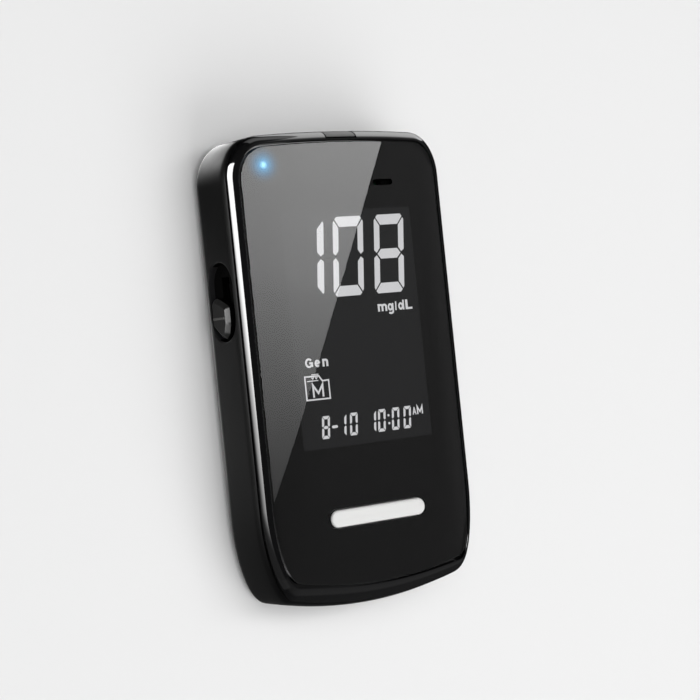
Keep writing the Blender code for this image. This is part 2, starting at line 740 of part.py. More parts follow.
def make_rear_cover():
    """Back shell with the cell bay, the ejector's pocket, screw posts and speaker holes."""
    rings = back_roll_rings()
    rings.append(body_ring(0.0, RIM_Z - LIP_BAND))
    rings.append(body_ring(LIP_INSET, RIM_Z))
    rings.append(body_ring(SHELL_WALL, RIM_Z, FACE_Z))
    rings.append(body_ring(SHELL_WALL, BACK_FLOOR, FACE_Z))
    cover = piece("rear_cover", loft(rings), "satin_black")

    outer, inner = bay_boxes()
    pocket_block = block(
        (-HALF_WIDTH + SHELL_WALL / 2, POCKET_BOTTOM_Y - SHELL_WALL, BACK_FLOOR / 2),
        (POCKET_BACK_X, POCKET_BOTTOM_Y + POCKET_LENGTH + SHELL_WALL, TONGUE_Z - FIT))
    join(cover, *outer)
    join(cover, pocket_block)
    join(cover, block((-HALF_WIDTH + SHELL_WALL / 2, SPRING_STOP_Y, BACK_FLOOR / 2),
                      (SPRING_SEAT_X, SPRING_STOP_Y + SPRING_STOP_THICKNESS,
                       SPRING_AXIS_Z + EJECTOR_SPRING_RADIUS)))
    for _, place in screw_places():
        join(cover, rod(place, POST_RADIUS, BACK_FLOOR / 2, SCREW_SINK + POST_FLOOR))

    cut(cover, *inner)
    recess = rounded_plate((-DOOR_HALF_WIDTH - FIT, DOOR_LOW_Y - SNUG),
                           (DOOR_HALF_WIDTH + FIT, DOOR_HIGH_Y + FIT), DOOR_CORNER)
    cut(cover, prism(recess, -OVERRUN, DOOR_THICKNESS + SNUG))
    cut(cover, *hook_boxes(FIT))
    cut(cover, latch_box(FIT))
    for place in tail_places():
        cut(cover, tail_box(place, SNUG, BAY_ROOF_TOP + OVERRUN))
    cut(cover, port_box(FIT))
    pocket = stadium((POCKET_BOTTOM_Y + POCKET_LENGTH / 2, POCKET_CENTRE_Z),
                     POCKET_LENGTH / 2, POCKET_WIDTH / 2)
    cut(cover, prism(pocket, -HALF_WIDTH - OVERRUN, POCKET_FLOOR_X, "X"))
    cut(cover, stem_box(FIT, EJECTOR_TRAVEL, OVERRUN))
    for _, place in screw_places():
        cut(cover, rod(place, SCREW_HEAD_RADIUS + FIT, -OVERRUN, SCREW_SINK))
        cut(cover, rod(place, SCREW_SHANK_RADIUS + FIT, -OVERRUN, SCREW_SINK + 2 * POST_FLOOR))
    set_hole = rod((0.0, SET_KEY_Y), SET_KEY_RADIUS + FIT, 0.0, WELL_DEPTH + WELL_WALL + OVERRUN)
    cut(cover, set_hole)
    for place in grille_places():
        cut(cover, rod(place, GRILLE_HOLE_RADIUS, -OVERRUN, BACK_FLOOR + OVERRUN / 2, sides=END_STEPS))
    return cover


def grille_places():
    """Places of the speaker holes: one in the middle and rings round it."""
    places = [(SPEAKER_X, SPEAKER_Y)]
    for ring in range(1, GRILLE_RINGS + 1):
        count = GRILLE_FIRST_RING * ring
        places += circle((SPEAKER_X, SPEAKER_Y), ring * GRILLE_PITCH, count)
    return places


def make_front_cover():
    """Glossy front shell: bezel, bed for the lens, windows and screw posts."""
    rings = [
        body_ring(CAVITY_INSET, CEILING, FACE_Z),
        body_ring(CAVITY_INSET, TONGUE_Z, FACE_Z),
        body_ring(TONGUE_INSET, TONGUE_Z, FACE_Z),
        body_ring(TONGUE_INSET, SKIRT_Z, FACE_Z),
    ]
    rings.append(body_ring(0.0, SKIRT_Z))
    rings += roll_rings(BEZEL_WIDTH, SKIRT_Z + BEZEL_FLAT, crown_z)
    rings.append(body_ring(BEZEL_WIDTH, lambda x: crown_z(x, LENS_THICKNESS + LENS_BED)))
    cover = piece("front_cover", loft(rings), "gloss_black")

    for _, place in screw_places():
        join(cover, rod(place, POST_RADIUS, SCREW_SINK + POST_FLOOR + FIT, CEILING + FIT))
    window = block((-FRAME_HALF_WIDTH - FIT, frame_low_y() - FIT, CEILING - OVERRUN / 4),
                   (FRAME_HALF_WIDTH + FIT, frame_high_y() + FIT, FACE_Z + OVERRUN))
    cut(cover, window)
    cut(cover, prism(stadium((0.0, KEY_Y), KEY_HALF_LENGTH + KEY_FLANGE_REACH + FIT,
                             KEY_HALF_HEIGHT + KEY_FLANGE_REACH + FIT),
                     CEILING - OVERRUN, KEY_POCKET_TOP))
    cut(cover, prism(stadium((0.0, KEY_Y), KEY_HALF_LENGTH + KEY_CLEARANCE,
                             KEY_HALF_HEIGHT + KEY_CLEARANCE), CEILING - OVERRUN, FACE_Z + OVERRUN))
    cut(cover, rod((LAMP_X, LAMP_Y), LAMP_PIPE_RADIUS + FIT, CEILING - OVERRUN, FACE_Z))
    cut(cover, prism(stadium((SLOT_X, SLOT_Y), SLOT_HALF_LENGTH, SLOT_HALF_HEIGHT),
                     CEILING - OVERRUN, FACE_Z))
    cut(cover, port_box(FIT))
    for _, place in screw_places():
        pilot_top = SCREW_SINK - SCREW_HEAD_HEIGHT + SCREW_LENGTH + FIT
        cut(cover, rod(place, SCREW_SHANK_RADIUS + FIT / 2, 0.0, pilot_top, sides=ROUND_SIDES))
    return cover


def make_front_lens():
    """Crowned smoked window over the whole face."""
    under = LENS_THICKNESS
    rings = [
        body_ring(LENS_INSET, lambda x: crown_z(x, under), FACE_Z),
        body_ring(LENS_INSET, lambda x: crown_z(x, LENS_EDGE_BEVEL), FACE_Z),
        body_ring(LENS_INSET + LENS_EDGE_BEVEL, crown_z, FACE_Z),
    ]
    lens = piece("front_lens", loft(rings), "smoked_lens")
    cut(lens, prism(stadium((0.0, KEY_Y), KEY_HALF_LENGTH + KEY_CLEARANCE,
                            KEY_HALF_HEIGHT + KEY_CLEARANCE), 0.0, FACE_Z + OVERRUN))
    cut(lens, prism(stadium((SLOT_X, SLOT_Y), SLOT_HALF_LENGTH, SLOT_HALF_HEIGHT),
                    0.0, FACE_Z + OVERRUN))
    return lens


def make_port_trim():
    """Trim round the strip's mouth, flush with the shells' top end."""
    rings = back_roll_rings()
    rings += roll_rings(BEZEL_WIDTH, SKIRT_Z + BEZEL_FLAT, crown_z)
    trim = piece("strip_port_trim", loft(rings), "satin_black")
    modifier = trim.modifiers.new("Trim", "BOOLEAN")
    modifier.operation = "INTERSECT"
    modifier.solver = "EXACT"
    modifier.object = guide(trim, port_box(0.0))
    join(trim, block((-PORT_HALF_WIDTH, SOCKET_HIGH_Y + FIT, STRIP_Z - SOCKET_BELOW_STRIP),
                     (PORT_HALF_WIDTH, HALF_LENGTH - PORT_DEPTH / 2, STRIP_Z + SOCKET_BELOW_STRIP)))
    mouth = rounded_plate((-PORT_MOUTH_HALF_WIDTH, STRIP_Z - PORT_MOUTH_HALF_HEIGHT),
                          (PORT_MOUTH_HALF_WIDTH, STRIP_Z + PORT_MOUTH_HALF_HEIGHT),
                          PORT_MOUTH_HALF_HEIGHT / 2)
    cut(trim, prism(mouth, SOCKET_HIGH_Y - OVERRUN, HALF_LENGTH + OVERRUN, "Y"))
    return trim


# Door and cells

def latch_box(grow):
    """The door's latch blade, or with a clearance the slot that it enters."""
    y = DOOR_HIGH_Y - LATCH_THICKNESS
    return block((-LATCH_WIDTH / 2 - grow, y - grow, DOOR_THICKNESS / 2 - grow),
                 (LATCH_WIDTH / 2 + grow, DOOR_HIGH_Y + grow, DOOR_THICKNESS + LATCH_HEIGHT + grow))


def make_door():
    """Cell door, which hooks in at its lower end and latches at the other."""
    outline = rounded_plate((-DOOR_HALF_WIDTH, DOOR_LOW_Y), (DOOR_HALF_WIDTH, DOOR_HIGH_Y),
                            DOOR_CORNER)
    door = piece("cell_door", prism(outline, 0.0, DOOR_THICKNESS), "satin_black",
                 origin=(0.0, DOOR_LOW_Y, 0.0))
    join(door, latch_box(0.0), *hook_boxes(0.0))
    for i in range(GRIP_RIB_COUNT):
        y = DOOR_HIGH_Y - GRIP_FROM_END - i * GRIP_RIB_PITCH
        cut(door, block((-GRIP_LENGTH / 2, y - GRIP_RIB_WIDTH, -OVERRUN),
                        (GRIP_LENGTH / 2, y, GRIP_RIB_DEPTH)))
    return door


def make_cell(name, x, flip):
    """One AAA cell with its nub at the end that flip gives."""
    low = BAY_LOW_Y + (PLATE_ROOM if flip else SPRING_ROOM)
    side = -1 if flip else 1
    middle = low + CELL_LENGTH / 2
    can = CELL_LENGTH - CELL_NUB_LENGTH
    near = middle - side * CELL_LENGTH / 2
    far = near + side * can
    cell = piece(name, rod((x, CELL_Z), CELL_DIAMETER / 2, min(near, far), max(near, far), "Y",
                           ROUND_SIDES), "cell_wrap")
    tip = far + side * CELL_NUB_LENGTH
    inside = far - side * CELL_NUB_LENGTH
    join(cell, rod((x, CELL_Z), CELL_NUB_DIAMETER / 2, min(inside, tip), max(inside, tip), "Y"))
    return cell


def contact_plates():
    """Name, X place, inner and outer Y of each contact plate, in cell order."""
    plates = []
    for side, x, high in (("left", -CELL_X, False), ("right", CELL_X, True)):
        for kind, at_high in (("spring_contact_plate", high), ("flat_contact", not high)):
            if at_high:
                end = BAY_HIGH_Y - SNUG
                plates.append((kind, side, x, end - CONTACT_THICKNESS, end))
            else:
                start = BAY_LOW_Y + SNUG
                plates.append((kind, side, x, start, start + CONTACT_THICKNESS))
    return plates


def tail_places():
    """Plan box of each contact's solder tail, which goes up through the bay's roof."""
    return [(x - TAIL_WIDTH / 2, low, x + TAIL_WIDTH / 2, high)
            for _, _, x, low, high in contact_plates()]


def tail_box(place, grow, top):
    """One solder tail, or with a clearance the slot that it passes through."""
    return block((place[0] - grow, place[1] - grow, CELL_Z + CONTACT_WIDTH / 4),
                 (place[2] + grow, place[3] + grow, top))


def make_contacts():
    """Flat and sprung contacts at both ends of the bay, with their solder tails."""
    for (kind, side, x, low, high), place in zip(contact_plates(), tail_places()):
        finish = "gold_contact" if kind == "flat_contact" else "spring_steel"
        plate = piece(kind + "_" + side,
                      block((x - CONTACT_WIDTH / 2, low, CELL_Z - CONTACT_WIDTH / 2),
                            (x + CONTACT_WIDTH / 2, high, CELL_Z + CONTACT_WIDTH / 2)), finish)
        join(plate, tail_box(place, 0.0, BOARD_TOP))
        if kind == "flat_contact":
            continue
        inner = SNUG + CONTACT_WIRE / 2
        outer = SPRING_ROOM - FIT - CONTACT_WIRE / 2
        if side == "right":
            ends = (low - inner, BAY_HIGH_Y - outer)
        else:
            ends = (high + inner, BAY_LOW_Y + outer)
        tube("contact_spring_" + side,
             coil_path((x, CELL_Z), ends[0], ends[1],
                       (CONTACT_SPRING_RADIUS, CONTACT_SPRING_TIP_RADIUS), CONTACT_TURNS,
                       CONTACT_WIRE / 2),
             CONTACT_WIRE / 2, "spring_steel")


# Circuit board

def make_board():
    """Main board, narrower beside the cells and notched round the top screw posts."""
    high_y = HALF_LENGTH - SHELL_WALL - BOARD_END_GAP
    low_y = BAY_LOW_Y + 2 * CONTACT_THICKNESS + SNUG
    step_y = BOARD_STEP_Y
    outline = [
        (-BOARD_FOOT_HALF_WIDTH, low_y), (BOARD_FOOT_HALF_WIDTH, low_y),
        (BOARD_FOOT_HALF_WIDTH, step_y), (BOARD_HALF_WIDTH, step_y),
        (BOARD_HALF_WIDTH, high_y - BOARD_END_GAP), (BOARD_HALF_WIDTH - BOARD_END_GAP, high_y),
        (-BOARD_HALF_WIDTH + BOARD_END_GAP, high_y), (-BOARD_HALF_WIDTH, high_y - BOARD_END_GAP),
        (-BOARD_HALF_WIDTH, step_y), (-BOARD_FOOT_HALF_WIDTH, step_y),
    ]
    board = piece("main_board", prism(outline, BOARD_UNDER, BOARD_TOP), "board_green")
    for _, place in screw_places()[:2]:
        cut(board, rod(place, POST_RADIUS + FIT, BOARD_UNDER - OVERRUN, BOARD_TOP + OVERRUN))
    for place in tail_places():
        cut(board, tail_box(place, SNUG, BOARD_TOP + OVERRUN))
    return board


def under_board(name, centre, size, height, finish):
    """Flat component soldered to the board's back."""
    top = BOARD_UNDER - SNUG
    return piece(name, centred_block(centre, size, top - height, top), finish)


def make_board_parts():
    """Chips, crystal, capacitor, lamp and switches."""
    under_board("processor_chip", (PROCESSOR_X, PROCESSOR_Y), (PROCESSOR_SIDE, PROCESSOR_SIDE),
                CHIP_HEIGHT, "chip_black")
    under_board("voice_chip", (VOICE_CHIP_X, VOICE_CHIP_Y), (VOICE_CHIP_WIDTH, VOICE_CHIP_LENGTH),
                CHIP_HEIGHT, "chip_black")
    under_board("memory_chip", (MEMORY_CHIP_X, MEMORY_CHIP_Y),
                (MEMORY_CHIP_WIDTH, MEMORY_CHIP_LENGTH), CHIP_HEIGHT, "chip_black")
    under_board("set_switch", (0.0, SET_KEY_Y), (SET_SWITCH_WIDTH, SET_SWITCH_WIDTH),
                SET_SWITCH_HEIGHT, "chip_black")
    piece("clock_crystal", rod((CRYSTAL_X, BOARD_UNDER - SNUG - CRYSTAL_RADIUS), CRYSTAL_RADIUS,
                               CRYSTAL_Y - CRYSTAL_LENGTH / 2, CRYSTAL_Y + CRYSTAL_LENGTH / 2, "Y"),
          "spring_steel")
    piece("power_capacitor", rod((CAPACITOR_X, BOARD_UNDER - SNUG - CAPACITOR_RADIUS),
                                 CAPACITOR_RADIUS, CAPACITOR_Y - CAPACITOR_LENGTH / 2,
                                 CAPACITOR_Y + CAPACITOR_LENGTH / 2, "Y"), "cell_wrap")
    piece("status_lamp", centred_block((LAMP_X, LAMP_Y), (LAMP_LENGTH, LAMP_WIDTH),
                                       BOARD_TOP + SNUG, BOARD_TOP + SNUG + LAMP_HEIGHT),
          "lamp_body")
    pipe_low = BOARD_TOP + 2 * SNUG + LAMP_HEIGHT
    pipe_high = crown_z(abs(LAMP_X) + LAMP_PIPE_RADIUS, LENS_THICKNESS + SNUG)
    piece("lamp_light_pipe", rod((LAMP_X, LAMP_Y), LAMP_PIPE_RADIUS, pipe_low, pipe_high),
          "clear_guide")
    piece("main_key_switch", centred_block((0.0, KEY_Y), (KEY_SWITCH_SIDE, KEY_SWITCH_SIDE),
                                           BOARD_TOP + SNUG, BOARD_TOP + SNUG + KEY_SWITCH_BODY),
          "chip_black")


# Display

def glass_low_y():
    """Lower edge of the display glass."""
    return VIEW_BOTTOM_Y - GLASS_MARGIN_Y


def glass_high_y():
    """Upper edge of the display glass."""
    return VIEW_TOP_Y + GLASS_MARGIN_Y


def frame_low_y():
    """Lower edge of the display's frame."""
    return glass_low_y() - SNUG - FRAME_WALL


def frame_high_y():
    """Upper edge of the display's frame."""
    return glass_high_y() + SNUG + FRAME_WALL


def make_display():
    """Display glass, light guide, contact strips and the frame round them."""
    piece("display_glass", block((-GLASS_HALF_WIDTH, glass_low_y(), GLASS_UNDER),
                                 (GLASS_HALF_WIDTH, glass_high_y(), GLASS_TOP)), "display_glass")
    guide_low = glass_low_y() + BACKLIGHT_INSET_Y
    guide_high = glass_high_y() - BACKLIGHT_INSET_Y
    piece("backlight_guide", block((-GLASS_HALF_WIDTH, guide_low, BACKLIGHT_UNDER),
                                   (GLASS_HALF_WIDTH, guide_high, BACKLIGHT_TOP)), "light_guide")
    strip_x = GLASS_HALF_WIDTH - STRIP_INSET_X
    for name, start in (("lower", glass_low_y()), ("upper", glass_high_y() - STRIP_WIDTH)):
        piece("display_contact_strip_" + name,
              block((-strip_x, start, BOARD_TOP + SNUG), (strip_x, start + STRIP_WIDTH,
                                                         GLASS_UNDER - SNUG)), "rubber_grey")
    frame = piece("display_frame",
                  block((-FRAME_HALF_WIDTH, frame_low_y(), BOARD_TOP + SNUG),
                        (FRAME_HALF_WIDTH, frame_high_y(), GLASS_TOP)), "inner_plastic")
    cut(frame, block((-GLASS_HALF_WIDTH - SNUG, glass_low_y() - SNUG, 0.0),
                     (GLASS_HALF_WIDTH + SNUG, glass_high_y() + SNUG, FACE_Z + OVERRUN)))


# Keys

def make_main_key():
    """White bar key: a cap that shows through the lens, on a flange that keeps it in."""
    soft = KEY_EDGE * KEY_EDGE_SOFT_SHARE
    steps = []
    for inset, z in ((0.0, KEY_FLANGE_UNDER + KEY_FLANGE / 2), (0.0, KEY_FACE_Z - KEY_EDGE),
                     (soft, KEY_FACE_Z - soft), (KEY_EDGE, KEY_FACE_Z)):
        outline = stadium((0.0, KEY_Y), KEY_HALF_LENGTH - inset, KEY_HALF_HEIGHT - inset)
        steps.append([(x, y, z) for x, y in outline])
    count = len(steps[0])
    points = [point for level in steps for point in level]
    faces = [tuple(range(count - 1, -1, -1)), tuple(range(3 * count, 4 * count))]
    for level in range(3):
        for i in range(count):
            j = (i + 1) % count
            low = level * count
            faces.append((low + i, low + j, low + count + j, low + count + i))
    key = piece("main_key", (points, faces), "key_white", origin=(0.0, KEY_Y, KEY_FACE_Z))
    flange = stadium((0.0, KEY_Y), KEY_HALF_LENGTH + KEY_FLANGE_REACH,
                     KEY_HALF_HEIGHT + KEY_FLANGE_REACH)
    join(key, prism(flange, KEY_FLANGE_UNDER, KEY_FLANGE_TOP))
    return key


def make_set_key():
    """Small round key in the well, which reaches up to its switch."""
    low = WELL_DEPTH - SET_KEY_PROUD
    high = BOARD_UNDER - SNUG - SET_SWITCH_HEIGHT - FIT - SET_KEY_TRAVEL
    flange_low = WELL_DEPTH + WELL_WALL + SNUG
    profile = [(0.0, low), (SET_KEY_RADIUS, low), (SET_KEY_RADIUS, flange_low),
               (SET_KEY_FLANGE_RADIUS, flange_low),
               (SET_KEY_FLANGE_RADIUS, flange_low + SET_KEY_FLANGE),
               (SET_KEY_RADIUS / 2, flange_low + SET_KEY_FLANGE), (SET_KEY_RADIUS / 2, high),
               (0.0, high)]
    return piece("set_key", turned(profile, (0.0, SET_KEY_Y), SMALL_SIDES), "key_white",
                 origin=(0.0, SET_KEY_Y, low))


# Strip port and ejector

def make_socket():
    """Strip socket under the board, with a channel through it and three leaf contacts."""
    socket = piece("strip_socket",
                   block((-SOCKET_HALF_WIDTH, SOCKET_LOW_Y, STRIP_Z - SOCKET_BELOW_STRIP),
                         (SOCKET_HALF_WIDTH, SOCKET_HIGH_Y, BOARD_UNDER - SNUG)), "inner_plastic")
    cut(socket, block((-CHANNEL_HALF_WIDTH, SOCKET_LOW_Y - OVERRUN, STRIP_Z - CHANNEL_HALF_HEIGHT),
                      (CHANNEL_HALF_WIDTH, SOCKET_HIGH_Y + OVERRUN, STRIP_Z + CHANNEL_HALF_HEIGHT)))
    start = (SOCKET_LOW_Y + SOCKET_HIGH_Y) / 2 - CONTACT_LEAF_LENGTH / 2
    end = start + CONTACT_LEAF_LENGTH
    roof = BOARD_UNDER - 2 * SNUG
    floor = STRIP_Z + CHANNEL_HALF_HEIGHT / 2
    thick = CONTACT_LEAF_THICKNESS
    for i in range(CONTACT_COUNT):
        x = (i - (CONTACT_COUNT - 1) / 2) * CONTACT_PITCH
        cut(socket, block((x - CONTACT_LEAF_WIDTH / 2 - SNUG, start - SNUG, STRIP_Z),
                          (x + CONTACT_LEAF_WIDTH / 2 + SNUG, end + SNUG, BOARD_UNDER + OVERRUN)))
        bend = end - CONTACT_LEAF_LENGTH / 4
        leaf = [(start, roof), (start, roof - thick), (bend, floor), (end, floor + 2 * thick),
                (end, floor + 3 * thick), (bend, floor + thick)]
        piece("strip_contact_%d" % (i + 1),
              prism(leaf, x - CONTACT_LEAF_WIDTH / 2, x + CONTACT_LEAF_WIDTH / 2, "X"),
              "gold_contact")


def stem_box(grow, travel, overrun):
    """The knob's stem, or with a clearance the slot that it slides in."""
    middle = POCKET_CENTRE_Z
    return block((POCKET_FLOOR_X - overrun, STEM_LOW_Y - grow, middle - STEM_HEIGHT / 2 - grow),
                 (POCKET_BACK_X + overrun / 4, STEM_LOW_Y + STEM_LENGTH + travel + grow,
                  middle + STEM_HEIGHT / 2 + grow))


def make_ejector():
    """Thumb knob on the left side, and the carriage behind it that pushes the strip out."""
    outer_x = -HALF_WIDTH - KNOB_PROUD
    base_x = POCKET_FLOOR_X - FIT
    half = KNOB_WIDTH / 2
    tip = KNOB_LENGTH * KNOB_TIP_SHARE
    rings = []
    for x, inset in ((base_x, 0.0), (outer_x + KNOB_EDGE, 0.0), (outer_x, KNOB_EDGE)):
        low = KNOB_LOW_Y + inset
        high = KNOB_HIGH_Y - inset
        reach = half - inset
        rings.append([
            (x, low, POCKET_CENTRE_Z - reach / 3), (x, low, POCKET_CENTRE_Z + reach / 3),
            (x, low + tip, POCKET_CENTRE_Z + reach), (x, high - reach / 3, POCKET_CENTRE_Z + reach),
            (x, high, POCKET_CENTRE_Z + reach / 2), (x, high, POCKET_CENTRE_Z - reach / 2),
            (x, high - reach / 3, POCKET_CENTRE_Z - reach), (x, low + tip, POCKET_CENTRE_Z - reach),
        ])
    count = len(rings[0])
    points = [point for ring in rings for point in ring]
    faces = [tuple(range(count)), tuple(range(3 * count - 1, 2 * count - 1, -1))]
    for level in range(2):
        for i in range(count):
            j = (i + 1) % count
            faces.append((level * count + i, level * count + j,
                          level * count + count + j, level * count + count + i))
    knob = piece("ejector_knob", (points, faces), "ejector_black",
                 origin=(-HALF_WIDTH, KNOB_Y, POCKET_CENTRE_Z))
    ridge_y = KNOB_Y - KNOB_RIDGE_WIDTH / 2
    join(knob, block((outer_x - KNOB_RIDGE_HEIGHT, ridge_y,
                      POCKET_CENTRE_Z - half + KNOB_EDGE),
                     (outer_x + KNOB_EDGE, ridge_y + KNOB_RIDGE_WIDTH,
                      POCKET_CENTRE_Z + half - KNOB_EDGE)))
    join(knob, block((base_x - KNOB_EDGE, STEM_LOW_Y, POCKET_CENTRE_Z - STEM_HEIGHT / 2),
                     (POCKET_BACK_X, STEM_LOW_Y + STEM_LENGTH, POCKET_CENTRE_Z + STEM_HEIGHT / 2)))

    carriage = piece("ejector_carriage",
                     block((CARRIAGE_OUTER_X, CARRIAGE_LOW_Y, CARRIAGE_LOW_Z),
                           (CARRIAGE_INNER_X, CARRIAGE_HIGH_Y, CARRIAGE_HIGH_Z)), "inner_plastic",
                     origin=(-HALF_WIDTH, KNOB_Y, POCKET_CENTRE_Z))
    arm_low = STRIP_Z - ARM_THICKNESS / 2
    join(carriage, block((CARRIAGE_OUTER_X + FIT, CARRIAGE_HIGH_Y - ARM_LENGTH, arm_low),
                         (FINGER_HALF_WIDTH, CARRIAGE_HIGH_Y, arm_low + ARM_THICKNESS)))
    join(carriage, block((CARRIAGE_OUTER_X + FIT, CARRIAGE_HIGH_Y - ARM_THICKNESS, CARRIAGE_LOW_Z),
                         (SPRING_SEAT_X, CARRIAGE_HIGH_Y, SPRING_AXIS_Z + EJECTOR_SPRING_RADIUS)))
    join(carriage, block((-FINGER_HALF_WIDTH, CARRIAGE_HIGH_Y - ARM_LENGTH / 2, FINGER_LOW_Z),
                         (FINGER_HALF_WIDTH, SOCKET_LOW_Y + CHANNEL_HALF_WIDTH / 2,
                          FINGER_LOW_Z + FINGER_THICKNESS)))
    tube("ejector_return_spring",
         coil_path((SPRING_AXIS_X, SPRING_AXIS_Z),
                   CARRIAGE_HIGH_Y + SNUG + EJECTOR_SPRING_WIRE / 2,
                   SPRING_STOP_Y - SNUG - EJECTOR_SPRING_WIRE / 2,
                   (EJECTOR_SPRING_RADIUS, EJECTOR_SPRING_RADIUS), EJECTOR_SPRING_TURNS,
                   EJECTOR_SPRING_WIRE / 2),
         EJECTOR_SPRING_WIRE / 2, "spring_steel")


# Speaker and screws

def make_speaker():
    """Speaker can with its cone, and the foam ring that seats it on the back."""
    centre = (SPEAKER_X, SPEAKER_Y)
    low = BACK_FLOOR + SNUG
    ring = piece("speaker_gasket", rod(centre, SPEAKER_RADIUS, low, low + GASKET_HEIGHT,
                                       sides=ROUND_SIDES), "rubber_grey")
    cut(ring, rod(centre, SPEAKER_RADIUS - GASKET_WIDTH, 0.0, low + GASKET_HEIGHT + OVERRUN,
                  sides=ROUND_SIDES))
    base = low + GASKET_HEIGHT + SNUG
    top = base + SPEAKER_HEIGHT
    cone = SPEAKER_RADIUS - SPEAKER_RIM
    profile = [(0.0, base + SPEAKER_CONE_DEPTH), (cone / 2, base + SPEAKER_CONE_DEPTH),
               (cone, base), (SPEAKER_RADIUS, base), (SPEAKER_RADIUS, base + SPEAKER_RIM),
               (cone, base + SPEAKER_RIM), (cone * SPEAKER_BACK_SHARE, top), (0.0, top)]
    piece("speaker", turned(profile, centre), "chip_black")
    for side, x in (("left", -SPEAKER_SPRING_SPREAD), ("right", SPEAKER_SPRING_SPREAD)):
        wire = SPEAKER_SPRING_WIRE / 2
        tube("speaker_contact_spring_" + side,
             coil_path((SPEAKER_X + x, SPEAKER_Y + SPEAKER_SPRING_FORWARD), top + SNUG + wire,
                       BOARD_UNDER - SNUG - wire, (SPEAKER_SPRING_RADIUS, SPEAKER_SPRING_RADIUS),
                       SPEAKER_SPRING_TURNS, wire, upright=True), wire, "gold_contact")


def make_screws():
    """Four cross-recessed case screws."""
    for name, place in screw_places():
        head = SCREW_SINK - SNUG
        low = head - SCREW_HEAD_HEIGHT
        end = low + SCREW_LENGTH
        profile = [(0.0, low), (SCREW_HEAD_RADIUS * SCREW_HEAD_TOP_SHARE, low),
                   (SCREW_HEAD_RADIUS, low + SCREW_HEAD_HEIGHT / 2), (SCREW_HEAD_RADIUS, head),
                   (SCREW_SHANK_RADIUS, head), (SCREW_SHANK_RADIUS, end - SCREW_SHANK_RADIUS),
                   (SCREW_SHANK_RADIUS / 3, end), (0.0, end)]
        screw = piece("case_screw_" + name, turned(profile, place, SMALL_SIDES), "screw_steel")
        half = SCREW_RECESS_RADIUS / 4
        for reach_x, reach_y in ((SCREW_RECESS_RADIUS, half), (half, SCREW_RECESS_RADIUS)):
            cut(screw, block((place[0] - reach_x, place[1] - reach_y, low - OVERRUN / 2),
                             (place[0] + reach_x, place[1] + reach_y, low + SCREW_RECESS_DEPTH)))


def main():
    """Build every sub-part."""
    clear_scene()
    make_rear_cover()
    make_front_cover()
    make_front_lens()
    make_port_trim()
    make_door()
    make_cell("cell_left", -CELL_X, False)
    make_cell("cell_right", CELL_X, True)
    make_contacts()
    make_board()
    make_board_parts()
    make_display()
    make_main_key()
    make_set_key()
    make_socket()
    make_ejector()
    make_speaker()
    make_screws()


main()
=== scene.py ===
"""Dressed model of a handheld talking blood glucose meter that lies on its back.

+X is the meter's right, +Y points to the end that takes the test strip and +Z comes out of the
display. The origin is the centre of the back. Lengths are in metres.
"""
from __future__ import annotations

import logging
import math
from dataclasses import dataclass, field
from enum import Enum
from typing import Callable, Iterable, Sequence

import bmesh
import bpy
from mathutils import Matrix, Vector

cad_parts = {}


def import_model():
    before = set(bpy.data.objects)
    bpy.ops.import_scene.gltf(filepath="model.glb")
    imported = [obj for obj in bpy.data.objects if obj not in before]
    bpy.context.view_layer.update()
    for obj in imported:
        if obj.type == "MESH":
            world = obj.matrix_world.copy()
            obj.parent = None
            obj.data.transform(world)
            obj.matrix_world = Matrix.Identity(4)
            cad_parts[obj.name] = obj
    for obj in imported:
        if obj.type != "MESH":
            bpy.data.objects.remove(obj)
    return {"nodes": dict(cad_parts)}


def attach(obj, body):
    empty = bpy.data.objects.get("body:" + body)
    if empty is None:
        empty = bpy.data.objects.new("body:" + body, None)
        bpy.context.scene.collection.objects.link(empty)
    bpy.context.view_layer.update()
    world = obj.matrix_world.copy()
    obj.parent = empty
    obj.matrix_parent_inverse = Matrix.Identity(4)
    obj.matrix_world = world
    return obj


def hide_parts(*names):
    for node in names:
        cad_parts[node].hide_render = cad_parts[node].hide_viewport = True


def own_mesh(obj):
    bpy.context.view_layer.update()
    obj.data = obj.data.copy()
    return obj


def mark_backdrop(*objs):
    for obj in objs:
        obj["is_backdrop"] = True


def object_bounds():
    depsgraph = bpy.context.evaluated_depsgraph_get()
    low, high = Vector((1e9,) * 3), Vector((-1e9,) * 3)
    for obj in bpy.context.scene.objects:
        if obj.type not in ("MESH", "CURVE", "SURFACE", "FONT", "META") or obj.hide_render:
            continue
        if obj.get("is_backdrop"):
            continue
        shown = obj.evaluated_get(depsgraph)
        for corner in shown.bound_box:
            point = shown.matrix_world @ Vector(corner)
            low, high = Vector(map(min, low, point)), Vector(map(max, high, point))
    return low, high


MM = 0.001
LOG = logging.getLogger("meter")

Point = tuple[float, float, float]
Spot = tuple[float, float]
Colour = tuple[float, float, float]
Outline = Callable[[float], list[Spot]]
Item = bpy.types.Object
Material = bpy.types.Material
Socket = bpy.types.NodeSocket
Face = bpy.types.MeshPolygon
Node = bpy.types.Node
Tree = bpy.types.NodeTree

UNDER_FACE = 10.7 * MM
OVER_FACE = 24 * MM
UNDER_BACK = -4 * MM


class Body(Enum):
    """Bodies of the frame that pieces ride on."""

    METER = "meter"
    MAIN_KEY = "main_key"
    EJECTOR = "ejector"
    DOOR = "cell_door"
    SET_KEY = "set_key"


class Along(Enum):
    """Axis that a solid runs along, with the order that puts its points in place."""

    X = (2, 0, 1)
    Y = (0, 2, 1)
    Z = (0, 1, 2)

    def placed(self, first: float, second: float, level: float) -> Point:
        """Point whose level counts along this axis."""
        spot = (first, second, level)
        return tuple(spot[k] for k in self.value)


# Shapes

def mm(*values: float) -> tuple[float, ...]:
    """Metres from millimetres."""
    return tuple(value * MM for value in values)


